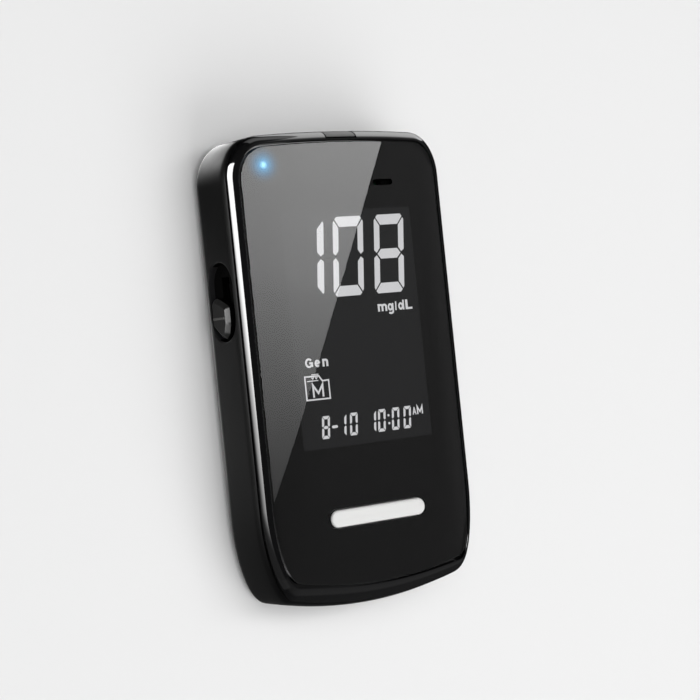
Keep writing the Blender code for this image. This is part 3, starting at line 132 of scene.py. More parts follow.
def scaled(table: Iterable[Sequence[float]]) -> list[tuple[float, ...]]:
    """Rows of a table that is written in millimetres."""
    return [mm(*row) for row in table]


@dataclass
class Draft:
    """Points and faces of a shape while it is laid out."""

    points: list[Point] = field(default_factory=list)
    faces: list[tuple[int, ...]] = field(default_factory=list)

    def ring(self, points: Sequence[Point]) -> list[int]:
        """Add one row of points and return their numbers."""
        self.points += points
        return list(range(len(self.points) - len(points), len(self.points)))

    def bridge(self, low: list[int], high: list[int]) -> None:
        """Join two closed rows of equal length with a band of faces."""
        self.faces += zip(low, low[1:] + low[:1], high[1:] + high[:1], high)

    def cap(self, row: Sequence[int]) -> None:
        """Close a row with one face."""
        self.faces.append(tuple(row))

    def strips(self, row: list[int]) -> None:
        """Close a body row with strips that run along the body and follow its crown."""
        half, back = len(row) // 2, row[::-1]
        self.faces += zip(row[:half - 1], row[1:half], back[1:half], back[:half - 1])


def tower(rows: Sequence[Sequence[Point]], crowned: bool = False) -> Draft:
    """Stack closed rows into one solid.

    Args:
        rows: rows of equal length, from one end to the other.
        crowned: whether both ends follow the body's crown.

    Returns:
        The closed shape.
    """
    draft = Draft()
    numbers = [draft.ring(row) for row in rows]
    for low, high in zip(numbers, numbers[1:]):
        draft.bridge(low, high)
    for row in (numbers[0], numbers[-1]):
        flat = abs(draft.points[row[0]][2] - draft.points[row[len(row) // 4]][2]) < 1e-9
        if crowned and not flat:
            draft.strips(row)
        else:
            draft.cap(row)
    return draft


def layered(levels: Iterable[tuple[Sequence[Spot], float]], along: Along = Along.Z) -> Draft:
    """Solid through outlines of equal length, each at its level along an axis."""
    return tower([[along.placed(*spot, level) for spot in outline] for outline, level in levels])


def stepped(outline: Outline, steps: Iterable[Spot], along: Along = Along.Z) -> Draft:
    """Solid through one outline that is drawn in by another inset at each level.

    Args:
        outline: gives the outline for an inset.
        steps: (inset, level) pairs in millimetres.
        along: axis that the levels are counted on.

    Returns:
        The closed shape.
    """
    return layered([(outline(inset * MM), level * MM) for inset, level in steps], along)


def prism(outline: Sequence[Spot], low: float, high: float) -> Draft:
    """Extrude an outline between two heights."""
    return layered([(outline, low), (outline, high)])


def block(low: Point, high: Point) -> Draft:
    """Box between two corners."""
    outline = [(low[0], low[1]), (high[0], low[1]), (high[0], high[1]), (low[0], high[1])]
    return prism(outline, low[2], high[2])


def circle(centre: Spot, radius: float, sides: int = 48) -> list[Spot]:
    """Points of a circle."""
    turns = [2 * math.pi * i / sides for i in range(sides)]
    return [(centre[0] + radius * math.cos(t), centre[1] + radius * math.sin(t)) for t in turns]


def stadium(centre: Spot, half_length: float, radius: float, steps: int = 20) -> list[Spot]:
    """Points of a slot with round ends, half as long as given from its centre to its tip."""
    turns = [-math.pi / 2 + math.pi * i / steps for i in range(steps + 1)]
    return [(centre[0] + side * (half_length - radius + radius * math.cos(turn)),
             centre[1] + side * radius * math.sin(turn)) for side in (1, -1) for turn in turns]


def rounded_plate(low: Spot, high: Spot, radius: float, steps: int = 8) -> list[Spot]:
    """Points of a rectangle with round corners.

    Args:
        low: lower left corner.
        high: upper right corner.
        radius: radius of the corners.
        steps: straight pieces in each corner.

    Returns:
        The points, anticlockwise.
    """
    points = []
    corners = ((high[0] - radius, low[1] + radius, 3), (high[0] - radius, high[1] - radius, 0),
               (low[0] + radius, high[1] - radius, 1), (low[0] + radius, low[1] + radius, 2))
    for x, y, quarter in corners:
        for i in range(steps + 1):
            turn = math.pi / 2 * (quarter + i / steps)
            points.append((x + radius * math.cos(turn), y + radius * math.sin(turn)))
    return points


def drawn_slot(centre: Spot, half_length: float, radius: float, steps: int = 20) -> Outline:
    """Outlines of a slot by their inset."""
    return lambda inset: stadium(centre, half_length - inset, radius - inset, steps)


def drawn_plate(low: Spot, high: Spot, radius: float) -> Outline:
    """Outlines of a rounded plate by their inset."""
    return lambda inset: rounded_plate((low[0] + inset, low[1] + inset),
                                       (high[0] - inset, high[1] - inset), radius - inset)


def shrunk(outline: Sequence[Spot], amount: float) -> list[Spot]:
    """Move each side of an anticlockwise outline inwards by the same amount.

    Args:
        outline: the corners.
        amount: how far the sides move.

    Returns:
        The moved corners.
    """
    result = []
    for i, spot in enumerate(outline):
        here = Vector(spot)
        before = (here - Vector(outline[i - 1])).normalized()
        after = (Vector(outline[(i + 1) % len(outline)]) - here).normalized()
        inward = Vector((-before.y, before.x)) + Vector((-after.y, after.x))
        result.append(tuple(here + inward * (amount * 2 / inward.length_squared)))
    return result


def softened(outline: Sequence[Spot], radius: float, steps: int = 5) -> list[Spot]:
    """Round every corner of an outline with an arc-like curve.

    Args:
        outline: the corners.
        radius: how far from a corner its curve starts, at most.
        steps: straight pieces in each curve.

    Returns:
        The points of the rounded outline.
    """
    result = []
    for i, spot in enumerate(outline):
        here = Vector(spot)
        back = Vector(outline[i - 1]) - here
        ahead = Vector(outline[(i + 1) % len(outline)]) - here
        start = here + back.normalized() * min(radius, back.length * 0.45)
        end = here + ahead.normalized() * min(radius, ahead.length * 0.45)
        for t in (k / steps for k in range(steps + 1)):
            result.append(tuple(start * (1 - t) ** 2 + here * 2 * t * (1 - t) + end * t ** 2))
    return result


def turned(profile: Sequence[Spot], centre: Spot, sides: int = 48, along: Along = Along.Z) -> Draft:
    """Turn a solid about an axis.

    Args:
        profile: (radius, height) pairs, on the axis at both ends.
        centre: place of the axis across its direction.
        sides: faces round it.
        along: direction of the axis.

    Returns:
        The closed shape.
    """
    draft = Draft()
    start = draft.ring([along.placed(*centre, profile[0][1])])[0]
    rows = [draft.ring([along.placed(*spot, level) for spot in circle(centre, radius, sides)])
            for radius, level in profile[1:-1]]
    end = draft.ring([along.placed(*centre, profile[-1][1])])[0]
    for low, high in zip(rows, rows[1:]):
        draft.bridge(low, high)
    for row, tip in ((rows[0], start), (rows[-1], end)):
        draft.faces += [(tip, row[i], row[(i + 1) % sides]) for i in range(sides)]
    return draft


def flared_hole(centre: Spot, radius: float, high: float, flare: float, sides: int) -> Draft:
    """Tool for a round hole in the back whose mouth is opened out by a small chamfer."""
    steps = ((radius + flare, UNDER_BACK), (radius + flare, 0.0), (radius, flare), (radius, high))
    return layered([(circle(centre, size, sides), level) for size, level in steps])


# Objects

def new_object(name: str, draft: Draft) -> Item:
    """Make an object at the origin whose faces point outwards.

    Args:
        name: name of the object and of its mesh.
        draft: the shape.

    Returns:
        The object, linked to the scene.
    """
    mesh = bpy.data.meshes.new(name)
    mesh.from_pydata(draft.points, [], draft.faces)
    work = bmesh.new()
    work.from_mesh(mesh)
    bmesh.ops.recalc_face_normals(work, faces=work.faces)
    work.to_mesh(mesh)
    work.free()
    item = bpy.data.objects.new(name, mesh)
    bpy.context.scene.collection.objects.link(item)
    return item


def settle(item: Item) -> None:
    """Turn an object's modifiers into plain mesh.

    Args:
        item: the object, which keeps its name.
    """
    bpy.context.view_layer.update()
    seen = item.evaluated_get(bpy.context.evaluated_depsgraph_get())
    mesh = bpy.data.meshes.new_from_object(seen)
    item.modifiers.clear()
    old = item.data
    item.data = mesh
    bpy.data.meshes.remove(old)
    mesh.name = item.name


def carve(item: Item, tools: Iterable[Draft | Item], operation: str = "DIFFERENCE") -> None:
    """Cut, join or trim an object with tools that are used up.

    Args:
        item: the object.
        tools: closed shapes or objects.
        operation: the Boolean modifier's operation.
    """
    used = []
    for tool in tools:
        helper = new_object("tool", tool) if isinstance(tool, Draft) else tool
        used.append(helper)
        modifier = item.modifiers.new("carve", "BOOLEAN")
        modifier.operation = operation
        modifier.solver = "EXACT"
        modifier.object = helper
    settle(item)
    for helper in used:
        bpy.data.objects.remove(helper, do_unlink=True)


def smooth(item: Item, angle: float = 32.0, weighted: bool = True) -> None:
    """Shade round faces smooth and keep edges over an angle crisp.

    Args:
        item: the object.
        angle: the least angle of a crisp edge, in degrees.
        weighted: whether large faces pull the normals of the small faces beside them.
    """
    item.data.polygons.foreach_set("use_smooth", [True] * len(item.data.polygons))
    item.data.set_sharp_from_angle(angle=math.radians(angle))
    if weighted:
        item.modifiers.new("weighted", "WEIGHTED_NORMAL").keep_sharp = True
        settle(item)


def paint(item: Item, material: Material) -> None:
    """Give an object one material."""
    item.data.materials.clear()
    item.data.materials.append(material)


def repaint(item: Item, material: Material, chosen: Callable[[Face], bool]) -> None:
    """Give some faces of an object a material of their own.

    Args:
        item: the object.
        material: the material of those faces.
        chosen: tells whether a face takes it.
    """
    item.data.materials.append(material)
    for face in item.data.polygons:
        if chosen(face):
            face.material_index = len(item.data.materials) - 1


# Trees that repeat shapes

class NodeSketch:
    """Short way to lay out a node tree."""

    def __init__(self, tree: Tree) -> None:
        """Keep the tree that nodes are added to."""
        self.tree = tree

    def socket(self, name: str, kind: str, value: object = None, output: bool = False) -> None:
        """Add a named socket to the tree's own interface.

        Args:
            name: the socket's name.
            kind: the end of its type name.
            value: its value when nothing feeds it.
            output: whether the tree puts it out.
        """
        made = self.tree.interface.new_socket(name, in_out="OUTPUT" if output else "INPUT",
                                              socket_type="NodeSocket" + kind)
        if value is not None:
            made.default_value = value

    def node(self, kind: str, *inputs: object, **named: object) -> Node:
        """Add a node, set it up and feed its inputs.

        Args:
            kind: the node's type name.
            inputs: values or sockets for its first inputs, None to leave one alone.
            named: properties of the node in small letters, and inputs by their names with
                capitals and _ for a space.

        Returns:
            The node.
        """
        made = self.tree.nodes.new(kind)
        for key, value in named.items():
            if key.islower():
                setattr(made, key, value)
        for slot, value in zip(made.inputs, inputs):
            self.feed(slot, value)
        for key, value in named.items():
            if not key.islower():
                self.feed(made.inputs[key.replace("_", " ")], value)
        return made

    def feed(self, slot: Socket, value: object) -> None:
        """Link a socket into an input, set its value, or leave it alone for None.

        Args:
            slot: the input.
            value: a socket, a value or None.
        """
        if isinstance(value, Socket):
            self.tree.links.new(value, slot)
        elif value is not None:
            slot.default_value = value

    def math(self, operation: str, *inputs: object) -> Socket:
        """Result of one sum on numbers."""
        return self.node("ShaderNodeMath", *inputs, operation=operation).outputs[0]

    def measure(self, operation: str, first: object, second: object) -> Socket:
        """Number that two vectors give, such as their distance."""
        made = self.node("ShaderNodeVectorMath", first, second, operation=operation)
        return made.outputs["Value"]

    def ranged(self, value: Socket, *ends: object) -> Socket:
        """Value carried from one range to another and kept inside it."""
        return self.node("ShaderNodeMapRange", value, *ends).outputs[0]

    def noise(self, place: Socket, *inputs: object) -> Socket:
        """Noise with a scale, and a detail and a roughness if they are given."""
        return self.node("ShaderNodeTexNoise", place, None, *inputs).outputs[0]


class CopyTree:
    """Base of the trees that repeat a shape: it ends every tree in the same way."""

    title = "copies"
    sizes: dict[str, tuple[str, object]] = {}

    def __init__(self) -> None:
        """Build the tree once."""
        self.sketch = NodeSketch(bpy.data.node_groups.new(self.title, "GeometryNodeTree"))
        for name, kind in (("Shape", "Geometry"), ("Material", "Material")):
            self.sketch.socket(name, kind)
        self.sketch.socket("Result", "Geometry", output=True)
        for name, (kind, value) in self.sizes.items():
            self.sketch.socket(name, kind, value)
        self.given = self.sketch.node("NodeGroupInput").outputs
        ends = self.sketch.node("GeometryNodeRealizeInstances", self.lay_out())
        finish = self.sketch.node("GeometryNodeSetMaterial", ends.outputs[0],
                                  Material=self.given["Material"])
        self.sketch.node("NodeGroupOutput", finish.outputs[0])

    def lay_out(self) -> Socket:
        """Return the geometry that the tree makes."""
        return self.given["Shape"]

    def on_points(self, points: Socket, turn: Socket | None = None) -> Socket:
        """Put the given shape on every point, turned if a turn is given."""
        return self.sketch.node("GeometryNodeInstanceOnPoints", points, Rotation=turn,
                                Instance=self.given["Shape"]).outputs[0]

    def grow(self, name: str, shape: Draft, material: Material | None, **values: object) -> Item:
        """Run the tree on a shape and keep the plain mesh.

        Args:
            name: name of the new object.
            shape: what is repeated, or an empty draft.
            material: the finish that the tree sets.
            values: the tree's named inputs, with _ for a space.

        Returns:
            An object without modifiers.
        """
        item = new_object(name, shape)
        modifier = item.modifiers.new("tree", "NODES")
        modifier.node_group = self.sketch.tree
        wanted = {key.replace("_", " "): value for key, value in values.items()}
        wanted["Material"] = material
        for entry in self.sketch.tree.interface.items_tree:
            if entry.in_out == "INPUT" and wanted.get(entry.name) is not None:
                modifier[entry.identifier] = wanted[entry.name]
        settle(item)
        return item


class RingCopies(CopyTree):
    """One copy in the middle, then rings of six and twelve round it."""

    title = "copies_in_rings"
    sizes = {"Pitch": ("Float", 2.4 * MM), "Centre": ("Vector", None)}

    def lay_out(self) -> Socket:
        """Put copies on two circles and one in the middle.

        Returns:
            The copies.
        """
        join = self.sketch.node("GeometryNodeJoinGeometry")
        self.sketch.feed(join.inputs[0], self.sketch.node("GeometryNodeMeshLine", 1).outputs[0])
        for count, share in ((6, 1.0), (12, 2.0)):
            radius = self.sketch.math("MULTIPLY", self.given["Pitch"], share)
            ring = self.sketch.node("GeometryNodeMeshCircle", count, radius)
            self.sketch.feed(join.inputs[0], ring.outputs[0])
        placed = self.sketch.node("GeometryNodeTransform", join.outputs[0],
                                  Translation=self.given["Centre"])
        return self.on_points(placed.outputs[0])


class RowCopies(CopyTree):
    """Copies in a straight row."""

    title = "copies_in_a_row"
    sizes = {"Count": ("Int", 5), "Step": ("Vector", None)}

    def lay_out(self) -> Socket:
        """Put copies on a line of points."""
        line = self.sketch.node("GeometryNodeMeshLine", Count=self.given["Count"],
                                Offset=self.given["Step"])
        return self.on_points(line.outputs[0])


class CornerCopies(CopyTree):
    """Copies at the four corners of a rectangle, each turned by chance about its own axis."""

    title = "copies_at_corners"
    sizes = {"Width": ("Float", 40 * MM), "Length": ("Float", 70 * MM),
             "Middle": ("Vector", None), "Seed": ("Int", 7)}

    def lay_out(self) -> Socket:
        """Put copies on the corners of a grid of one cell.

        Returns:
            The copies.
        """
        given = self.given
        grid = self.sketch.node("GeometryNodeMeshGrid", given["Width"], given["Length"], 2, 2)
        placed = self.sketch.node("GeometryNodeTransform", grid.outputs[0], Translation=given["Middle"])
        turn = self.sketch.node("FunctionNodeRandomValue", data_type="FLOAT_VECTOR",
                                Min=(0.0, 0.0, 0.0), Max=(0.0, 0.0, math.pi / 2),
                                Seed=given["Seed"])
        return self.on_points(placed.outputs[0], turn.outputs["Value"])


class WoundWire(CopyTree):
    """Coil spring along Z with closed end turns."""

    title = "wound_wire"
    sizes = {"Turns": ("Float", 6.0), "Dead Turns": ("Float", 0.9),
             "First Radius": ("Float", 1.4 * MM), "Last Radius": ("Float", 1.4 * MM),
             "Length": ("Float", 12 * MM), "Wire Radius": ("Float", 0.2 * MM)}
    points_per_turn = 28.0
    sides = 12
    closed_pitch = 2.06

    def lay_out(self) -> Socket:
        """Bend a line into a helix and sweep a round wire along it.

        Returns:
            The wire.
        """
        sketch, sums, given = self.sketch, self.sketch.math, self.given
        line = sketch.node("GeometryNodeCurvePrimitiveLine")
        points = sketch.node("GeometryNodeResampleCurve", line.outputs[0],
                             Count=sums("MULTIPLY", given["Turns"], self.points_per_turn))
        share = sketch.node("GeometryNodeSplineParameter").outputs["Factor"]
        turn = sums("MULTIPLY", sums("MULTIPLY", share, given["Turns"]), math.tau)
        spread = sums("SUBTRACT", given["Last Radius"], given["First Radius"])
        radius = sums("MULTIPLY_ADD", spread, share, given["First Radius"])
        radius = sums("SUBTRACT", radius, given["Wire Radius"])
        across = sums("MULTIPLY", radius, sums("COSINE", turn))
        aside = sums("MULTIPLY", radius, sums("SINE", turn))
        pitch = sums("MULTIPLY", given["Wire Radius"], self.closed_pitch)
        wound = sums("MULTIPLY", pitch, given["Turns"])
        dead = sums("DIVIDE", given["Dead Turns"], given["Turns"])
        opened = sketch.ranged(share, dead, sums("SUBTRACT", 1.0, dead), 0.0,
                               sums("SUBTRACT", given["Length"], wound))
        rise = sums("MULTIPLY_ADD", share, wound, opened)
        place = sketch.node("ShaderNodeCombineXYZ", across, aside, rise)
        bent = sketch.node("GeometryNodeSetPosition", points.outputs[0], Position=place.outputs[0])
        section = sketch.node("GeometryNodeCurvePrimitiveCircle", self.sides,
                              Radius=given["Wire Radius"])
        wire = sketch.node("GeometryNodeCurveToMesh", bent.outputs[0], section.outputs[0],
                           Fill_Caps=True)
        return sketch.node("GeometryNodeSetShadeSmooth", wire.outputs[0]).outputs[0]


class RaisedShapes(CopyTree):
    """Flat outlines lifted into thin closed plates."""

    title = "raised_shapes"
    sizes = {"Thickness": ("Float", 0.03 * MM)}

    def lay_out(self) -> Socket:
        """Lift the faces along Z and close them from below.

        Returns:
            The plates.
        """
        sketch, shape = self.sketch, self.given["Shape"]
        lift = sketch.node("ShaderNodeCombineXYZ", 0.0, 0.0, self.given["Thickness"])
        raised = sketch.node("GeometryNodeExtrudeMesh", shape, Individual=False, Offset=lift.outputs[0])
        both = sketch.node("GeometryNodeJoinGeometry")
        for made in (raised, sketch.node("GeometryNodeFlipFaces", shape)):
            sketch.feed(both.inputs[0], made.outputs[0])
        return sketch.node("GeometryNodeMergeByDistance", both.outputs[0], None, 1e-7).outputs[0]


@dataclass
class Trees:
    """The trees that the sub-assemblies share."""

    rings: RingCopies = field(default_factory=RingCopies)
    row: RowCopies = field(default_factory=RowCopies)
    corners: CornerCopies = field(default_factory=CornerCopies)
    wire: WoundWire = field(default_factory=WoundWire)
    raised: RaisedShapes = field(default_factory=RaisedShapes)


# Finishes

class Effect(Enum):
    """Surface effects that several finishes share."""

    GRAIN = "mould_grain"
    SMUDGE = "handling_smudge"
    DUST = "fine_dust"
    WEAR = "edge_wear"


class Effects:
    """Builds each effect once, as a node group."""

    def __init__(self) -> None:
        """Build every group."""
        self.groups = {Effect.GRAIN: self.grain(), Effect.SMUDGE: self.smudge(),
                       Effect.DUST: self.dust(), Effect.WEAR: self.wear()}

    def start(self, effect: Effect, inputs: dict[str, float],
              outputs: Sequence[str]) -> tuple[NodeSketch, bpy.types.NodeOutputs]:
        """Open a group with its named sockets.

        Args:
            effect: the effect.
            inputs: names and values of its numbers, beside the place on the surface.
            outputs: names of what it puts out.

        Returns:
            The sketch of the group and the sockets that it is given.
        """
        sketch = NodeSketch(bpy.data.node_groups.new(effect.value, "ShaderNodeTree"))
        sketch.socket("Vector", "Vector")
        for name, value in inputs.items():
            sketch.socket(name, "Float", value)
        for name in outputs:
            sketch.socket(name, "Float", output=True)
        return sketch, sketch.node("NodeGroupInput").outputs

    def scaled_mask(self, sketch: NodeSketch, mask: Socket, amount: Socket) -> Tree:
        """End a group with a mask times its amount."""
        sketch.node("NodeGroupOutput", sketch.math("MULTIPLY", mask, amount))
        return sketch.tree

    def grain(self) -> Tree:
        """Spark-eroded mould texture: a fine height and a slow cloudiness of shade.

        Returns:
            The group.
        """
        sketch, given = self.start(Effect.GRAIN, {"Scale": 3000.0, "Cloud Scale": 60.0},
                                   ("Height", "Cloud"))
        fine = sketch.noise(given["Vector"], given["Scale"], 3.0, 0.6)
        pits = sketch.node("ShaderNodeTexVoronoi", given["Vector"], None, given["Scale"])
        mixed = sketch.math("MULTIPLY_ADD", pits.outputs["Distance"], 0.5, fine)
        cloud = sketch.noise(given["Vector"], given["Cloud Scale"], 4.0, 0.55)
        sketch.node("NodeGroupOutput", mixed, cloud)
        return sketch.tree

    def smudge(self) -> Tree:
        """Soft patches where fingers have polished or dulled the surface.

        Returns:
            The group.
        """
        sketch, given = self.start(Effect.SMUDGE, {"Scale": 45.0, "Amount": 0.1}, ("Mask",))
        patch = sketch.node("ShaderNodeTexNoise", given["Vector"], None, given["Scale"], 5.0,
                            0.62, Distortion=1.4)
        mask = sketch.ranged(patch.outputs[0], 0.42, 0.68, -0.5, 1.0)
        return self.scaled_mask(sketch, mask, given["Amount"])

    def dust(self) -> Tree:
        """Sparse pale specks, mostly on faces that look up.

        Returns:
            The group.
        """
        sketch, given = self.start(Effect.DUST, {"Scale": 900.0, "Amount": 0.2}, ("Mask",))
        cells = sketch.node("ShaderNodeTexVoronoi", given["Vector"], None, given["Scale"])
        near = sketch.ranged(cells.outputs["Distance"], 0.02, 0.16, 1.0, 0.0)
        few = sketch.ranged(sketch.noise(given["Vector"], 400.0, 2.0), 0.6, 0.72, 0.0, 1.0)
        true = sketch.node("ShaderNodeNewGeometry").outputs["Normal"]
        up = sketch.node("ShaderNodeSeparateXYZ", true).outputs[2]
        mask = sketch.math("MULTIPLY", near, few)
        mask = sketch.math("MULTIPLY", mask, sketch.ranged(up, -0.2, 0.9, 0.15, 1.0))
        return self.scaled_mask(sketch, mask, given["Amount"])

    def wear(self) -> Tree:
        """Rubbed edges: where a bevelled normal leaves the true one, broken up by noise.

        Returns:
            The group.
        """
        sketch, given = self.start(Effect.WEAR, {"Width": 0.3 * MM, "Amount": 0.5}, ("Mask",))
        bevel = sketch.node("ShaderNodeBevel", given["Width"], samples=4)
        true = sketch.node("ShaderNodeNewGeometry").outputs["Normal"]
        same = sketch.measure("DOT_PRODUCT", bevel.outputs[0], true)
        edge = sketch.ranged(same, 0.99, 0.80, 0.0, 1.0)
        broken = sketch.noise(given["Vector"], 350.0, 4.0, 0.6)
        patch = sketch.ranged(broken, 0.35, 0.65, 0.2, 1.0)
        return self.scaled_mask(sketch, sketch.math("MULTIPLY", edge, patch), given["Amount"])


def shaded(colour: Colour, factor: float) -> Colour:
    """Colour made lighter or darker by a factor."""
    return tuple(min(1.0, part * factor) for part in colour)


class MaterialSketch(NodeSketch):
    """A material with a Principled shader, and short ways to dress it."""

    def __init__(self, name: str, effects: Effects) -> None:
        """Start the material.

        Args:
            name: its name.
            effects: the shared effects.
        """
        self.material = bpy.data.materials.new(name)
        self.material.use_nodes = True
        super().__init__(self.material.node_tree)
        self.shader = self.tree.nodes["Principled BSDF"]
        self.effects = effects
        self.place = self.node("ShaderNodeTexCoord").outputs["Object"]

    def put(self, **values: object) -> None:
        """Feed inputs of the shader, named with _ for a space."""
        for name, value in values.items():
            self.feed(self.shader.inputs[name.replace("_", " ")], value)

    def effect(self, effect: Effect, **values: float) -> bpy.types.NodeOutputs:
        """Place a shared effect with this material's own values and return what it puts out."""
        return self.node("ShaderNodeGroup", node_tree=self.effects.groups[effect],
                         Vector=self.place, **values).outputs

    def smudged(self, roughness: float, **values: float) -> Socket:
        """Roughness that handling has changed in patches."""
        return self.math("ADD", self.effect(Effect.SMUDGE, **values)[0], roughness)

    def blend(self, share: Socket, first: Socket | Colour, second: Socket | Colour) -> Socket:
        """Mix two colours.

        Args:
            share: how much of the second shows.
            first: the first colour.
            second: the second colour.

        Returns:
            The mixture.
        """
        mix = self.node("ShaderNodeMix", share, data_type="RGBA")
        for slot, value in ((mix.inputs[6], first), (mix.inputs[7], second)):
            self.feed(slot, (*value, 1.0) if isinstance(value, tuple) else value)
        return mix.outputs[2]

    def bump(self, height: Socket, distance: float) -> None:
        """Raise the surface by a height."""
        raised = self.node("ShaderNodeBump", Strength=1.0, Distance=distance, Height=height)
        self.put(Normal=raised.outputs[0])


@dataclass(frozen=True)
class Finish:
    """Named finish, which builds its material when a piece asks for it."""

    name: str

    def make(self, effects: Effects) -> Material:
        """Build the material.

        Args:
            effects: the shared effects.

        Returns:
            The material.
        """
        sketch = MaterialSketch(self.name, effects)
        self.dress(sketch)
        return sketch.material

    def dress(self, sketch: MaterialSketch) -> None:
        """Lay out the nodes of the material."""


@dataclass(frozen=True)
class Plastic(Finish):
    """Moulded plastic, from satin to gloss, that has been handled a little."""

    colour: Colour
    roughness: float
    specular: float = 0.5
    cloud: float = 0.12
    grain_scale: float = 3000.0
    grain_depth: float = 0.004 * MM
    smudge: float = 0.06
    dust: float = 0.15
    wear: float = 0.0
    dust_colour: Colour = (0.35, 0.34, 0.32)
    wear_colour: Colour = (0.09, 0.09, 0.09)

    def dress(self, sketch: MaterialSketch) -> None:
        """Lay out a clouded colour under dust and worn edges, with mould grain.

        Args:
            sketch: the material.
        """
        grain = sketch.effect(Effect.GRAIN, Scale=self.grain_scale)
        colour = sketch.blend(grain["Cloud"], shaded(self.colour, 1 - self.cloud),
                              shaded(self.colour, 1 + self.cloud))
        dust = sketch.effect(Effect.DUST, Amount=self.dust)[0]
        colour = sketch.blend(dust, colour, self.dust_colour)
        if self.wear > 0:
            worn = sketch.effect(Effect.WEAR, Amount=self.wear)[0]
            colour = sketch.blend(worn, colour, self.wear_colour)
        sketch.put(Base_Color=colour, Specular_IOR_Level=self.specular,
                   Roughness=sketch.smudged(self.roughness, Amount=self.smudge))
        if self.grain_depth > 0:
            sketch.bump(grain["Height"], self.grain_depth)


@dataclass(frozen=True)
class Metal(Finish):
    """Plated or drawn metal with fine drawing marks."""

    colour: Colour
    roughness: float
    stretch: Point = (1.0, 1.0, 12.0)
    spread: float = 0.16

    def dress(self, sketch: MaterialSketch) -> None:
        """Lay out a tarnished colour and drawing marks.

        Args:
            sketch: the material.
        """
        mapping = sketch.node("ShaderNodeMapping", sketch.place, Scale=self.stretch)
        marks = sketch.noise(mapping.outputs[0], 1800.0, 4.0, 0.6)
        tarnish = sketch.effect(Effect.SMUDGE, Scale=260.0, Amount=0.6)[0]
        rough = sketch.math("MULTIPLY_ADD", marks, self.spread, self.roughness - self.spread / 2)
        sketch.put(Base_Color=sketch.blend(tarnish, self.colour, shaded(self.colour, 0.72)),
                   Metallic=1.0, Roughness=rough)
        sketch.bump(marks, 0.002 * MM)


@dataclass(frozen=True)
class ClearPlastic(Finish):
    """See-through plastic, tinted right through."""

    tint: Colour
    roughness: float = 0.0
    ior: float = 1.49

    def dress(self, sketch: MaterialSketch) -> None:
        """Lay out a tint with faint smudges on a polished surface.

        Args:
            sketch: the material.
        """
        cloud = sketch.effect(Effect.GRAIN)["Cloud"]
        rough = sketch.math("MAXIMUM", sketch.smudged(self.roughness, Amount=0.012), 0.0)
        sketch.put(Base_Color=sketch.blend(cloud, self.tint, shaded(self.tint, 1.02)),
                   Roughness=rough, Transmission_Weight=1.0, IOR=self.ior)


@dataclass(frozen=True)
class PrintedFilm(Finish):
    """Black print behind the lens, with the blue light that leaks round the status lamp."""

    lamp: Point
    colour: Colour = (0.0035, 0.0035, 0.0037)
    halo: Colour = (0.0, 0.48, 0.98)
    core: Colour = (0.62, 1.30, 1.40)
    halo_reach: float = 4.2 * MM
    halo_power: float = 2.3
    core_reach: float = 0.95 * MM
    core_power: float = 1.2

    def dress(self, sketch: MaterialSketch) -> None:
        """Lay out the print and the two parts of the lamp's light.

        Args:
            sketch: the material.
        """
        cloud = sketch.effect(Effect.GRAIN, Cloud_Scale=120.0)["Cloud"]
        away = sketch.measure("DISTANCE", sketch.place, self.lamp)
        glow: Socket | Colour = (0.0, 0.0, 0.0)
        for colour, reach, power in ((self.halo, self.halo_reach, self.halo_power),
                                     (self.core, self.core_reach, self.core_power)):
            near = sketch.ranged(away, 0.0, reach, 1.0, 0.0)
            glow = sketch.blend(sketch.math("POWER", near, power), glow, colour)
        sketch.put(Base_Color=sketch.blend(cloud, self.colour, shaded(self.colour, 1.25)),
                   Roughness=0.4, Specular_IOR_Level=0.0, Emission_Color=glow, Emission_Strength=1.0)


@dataclass(frozen=True)
class Glowing(Finish):
    """Surface that gives its own light, with a faint unevenness."""

    colour: Colour
    glow: Colour
    strength: float
    roughness: float = 0.3
    specular: float = 0.2

    def dress(self, sketch: MaterialSketch) -> None:
        """Lay out a clouded colour and a clouded light.

        Args:
            sketch: the material.
        """
        cloud = sketch.effect(Effect.GRAIN, Cloud_Scale=300.0)["Cloud"]
        sketch.put(Base_Color=sketch.blend(cloud, self.colour, shaded(self.colour, 0.9)),
                   Emission_Color=sketch.blend(cloud, self.glow, shaded(self.glow, 0.94)),
                   Emission_Strength=self.strength, Roughness=self.roughness,
                   Specular_IOR_Level=self.specular)


@dataclass(frozen=True)
class BoardResist(Finish):
    """Green solder resist over copper tracks."""

    colour: Colour = (0.004, 0.022, 0.010)
    track: Colour = (0.008, 0.040, 0.018)
    pitch: float = 900.0

    def dress(self, sketch: MaterialSketch) -> None:
        """Lay out rows of tracks under the resist.

        Args:
            sketch: the material.
        """
        tracks = sketch.node("ShaderNodeTexBrick", sketch.place, Scale=self.pitch,
                             Mortar_Size=0.06, Brick_Width=2.6, Row_Height=0.7).outputs["Fac"]
        sketch.put(Base_Color=sketch.blend(tracks, self.colour, self.track),
                   Roughness=sketch.smudged(0.34, Amount=0.08))
        sketch.bump(tracks, 0.01 * MM)


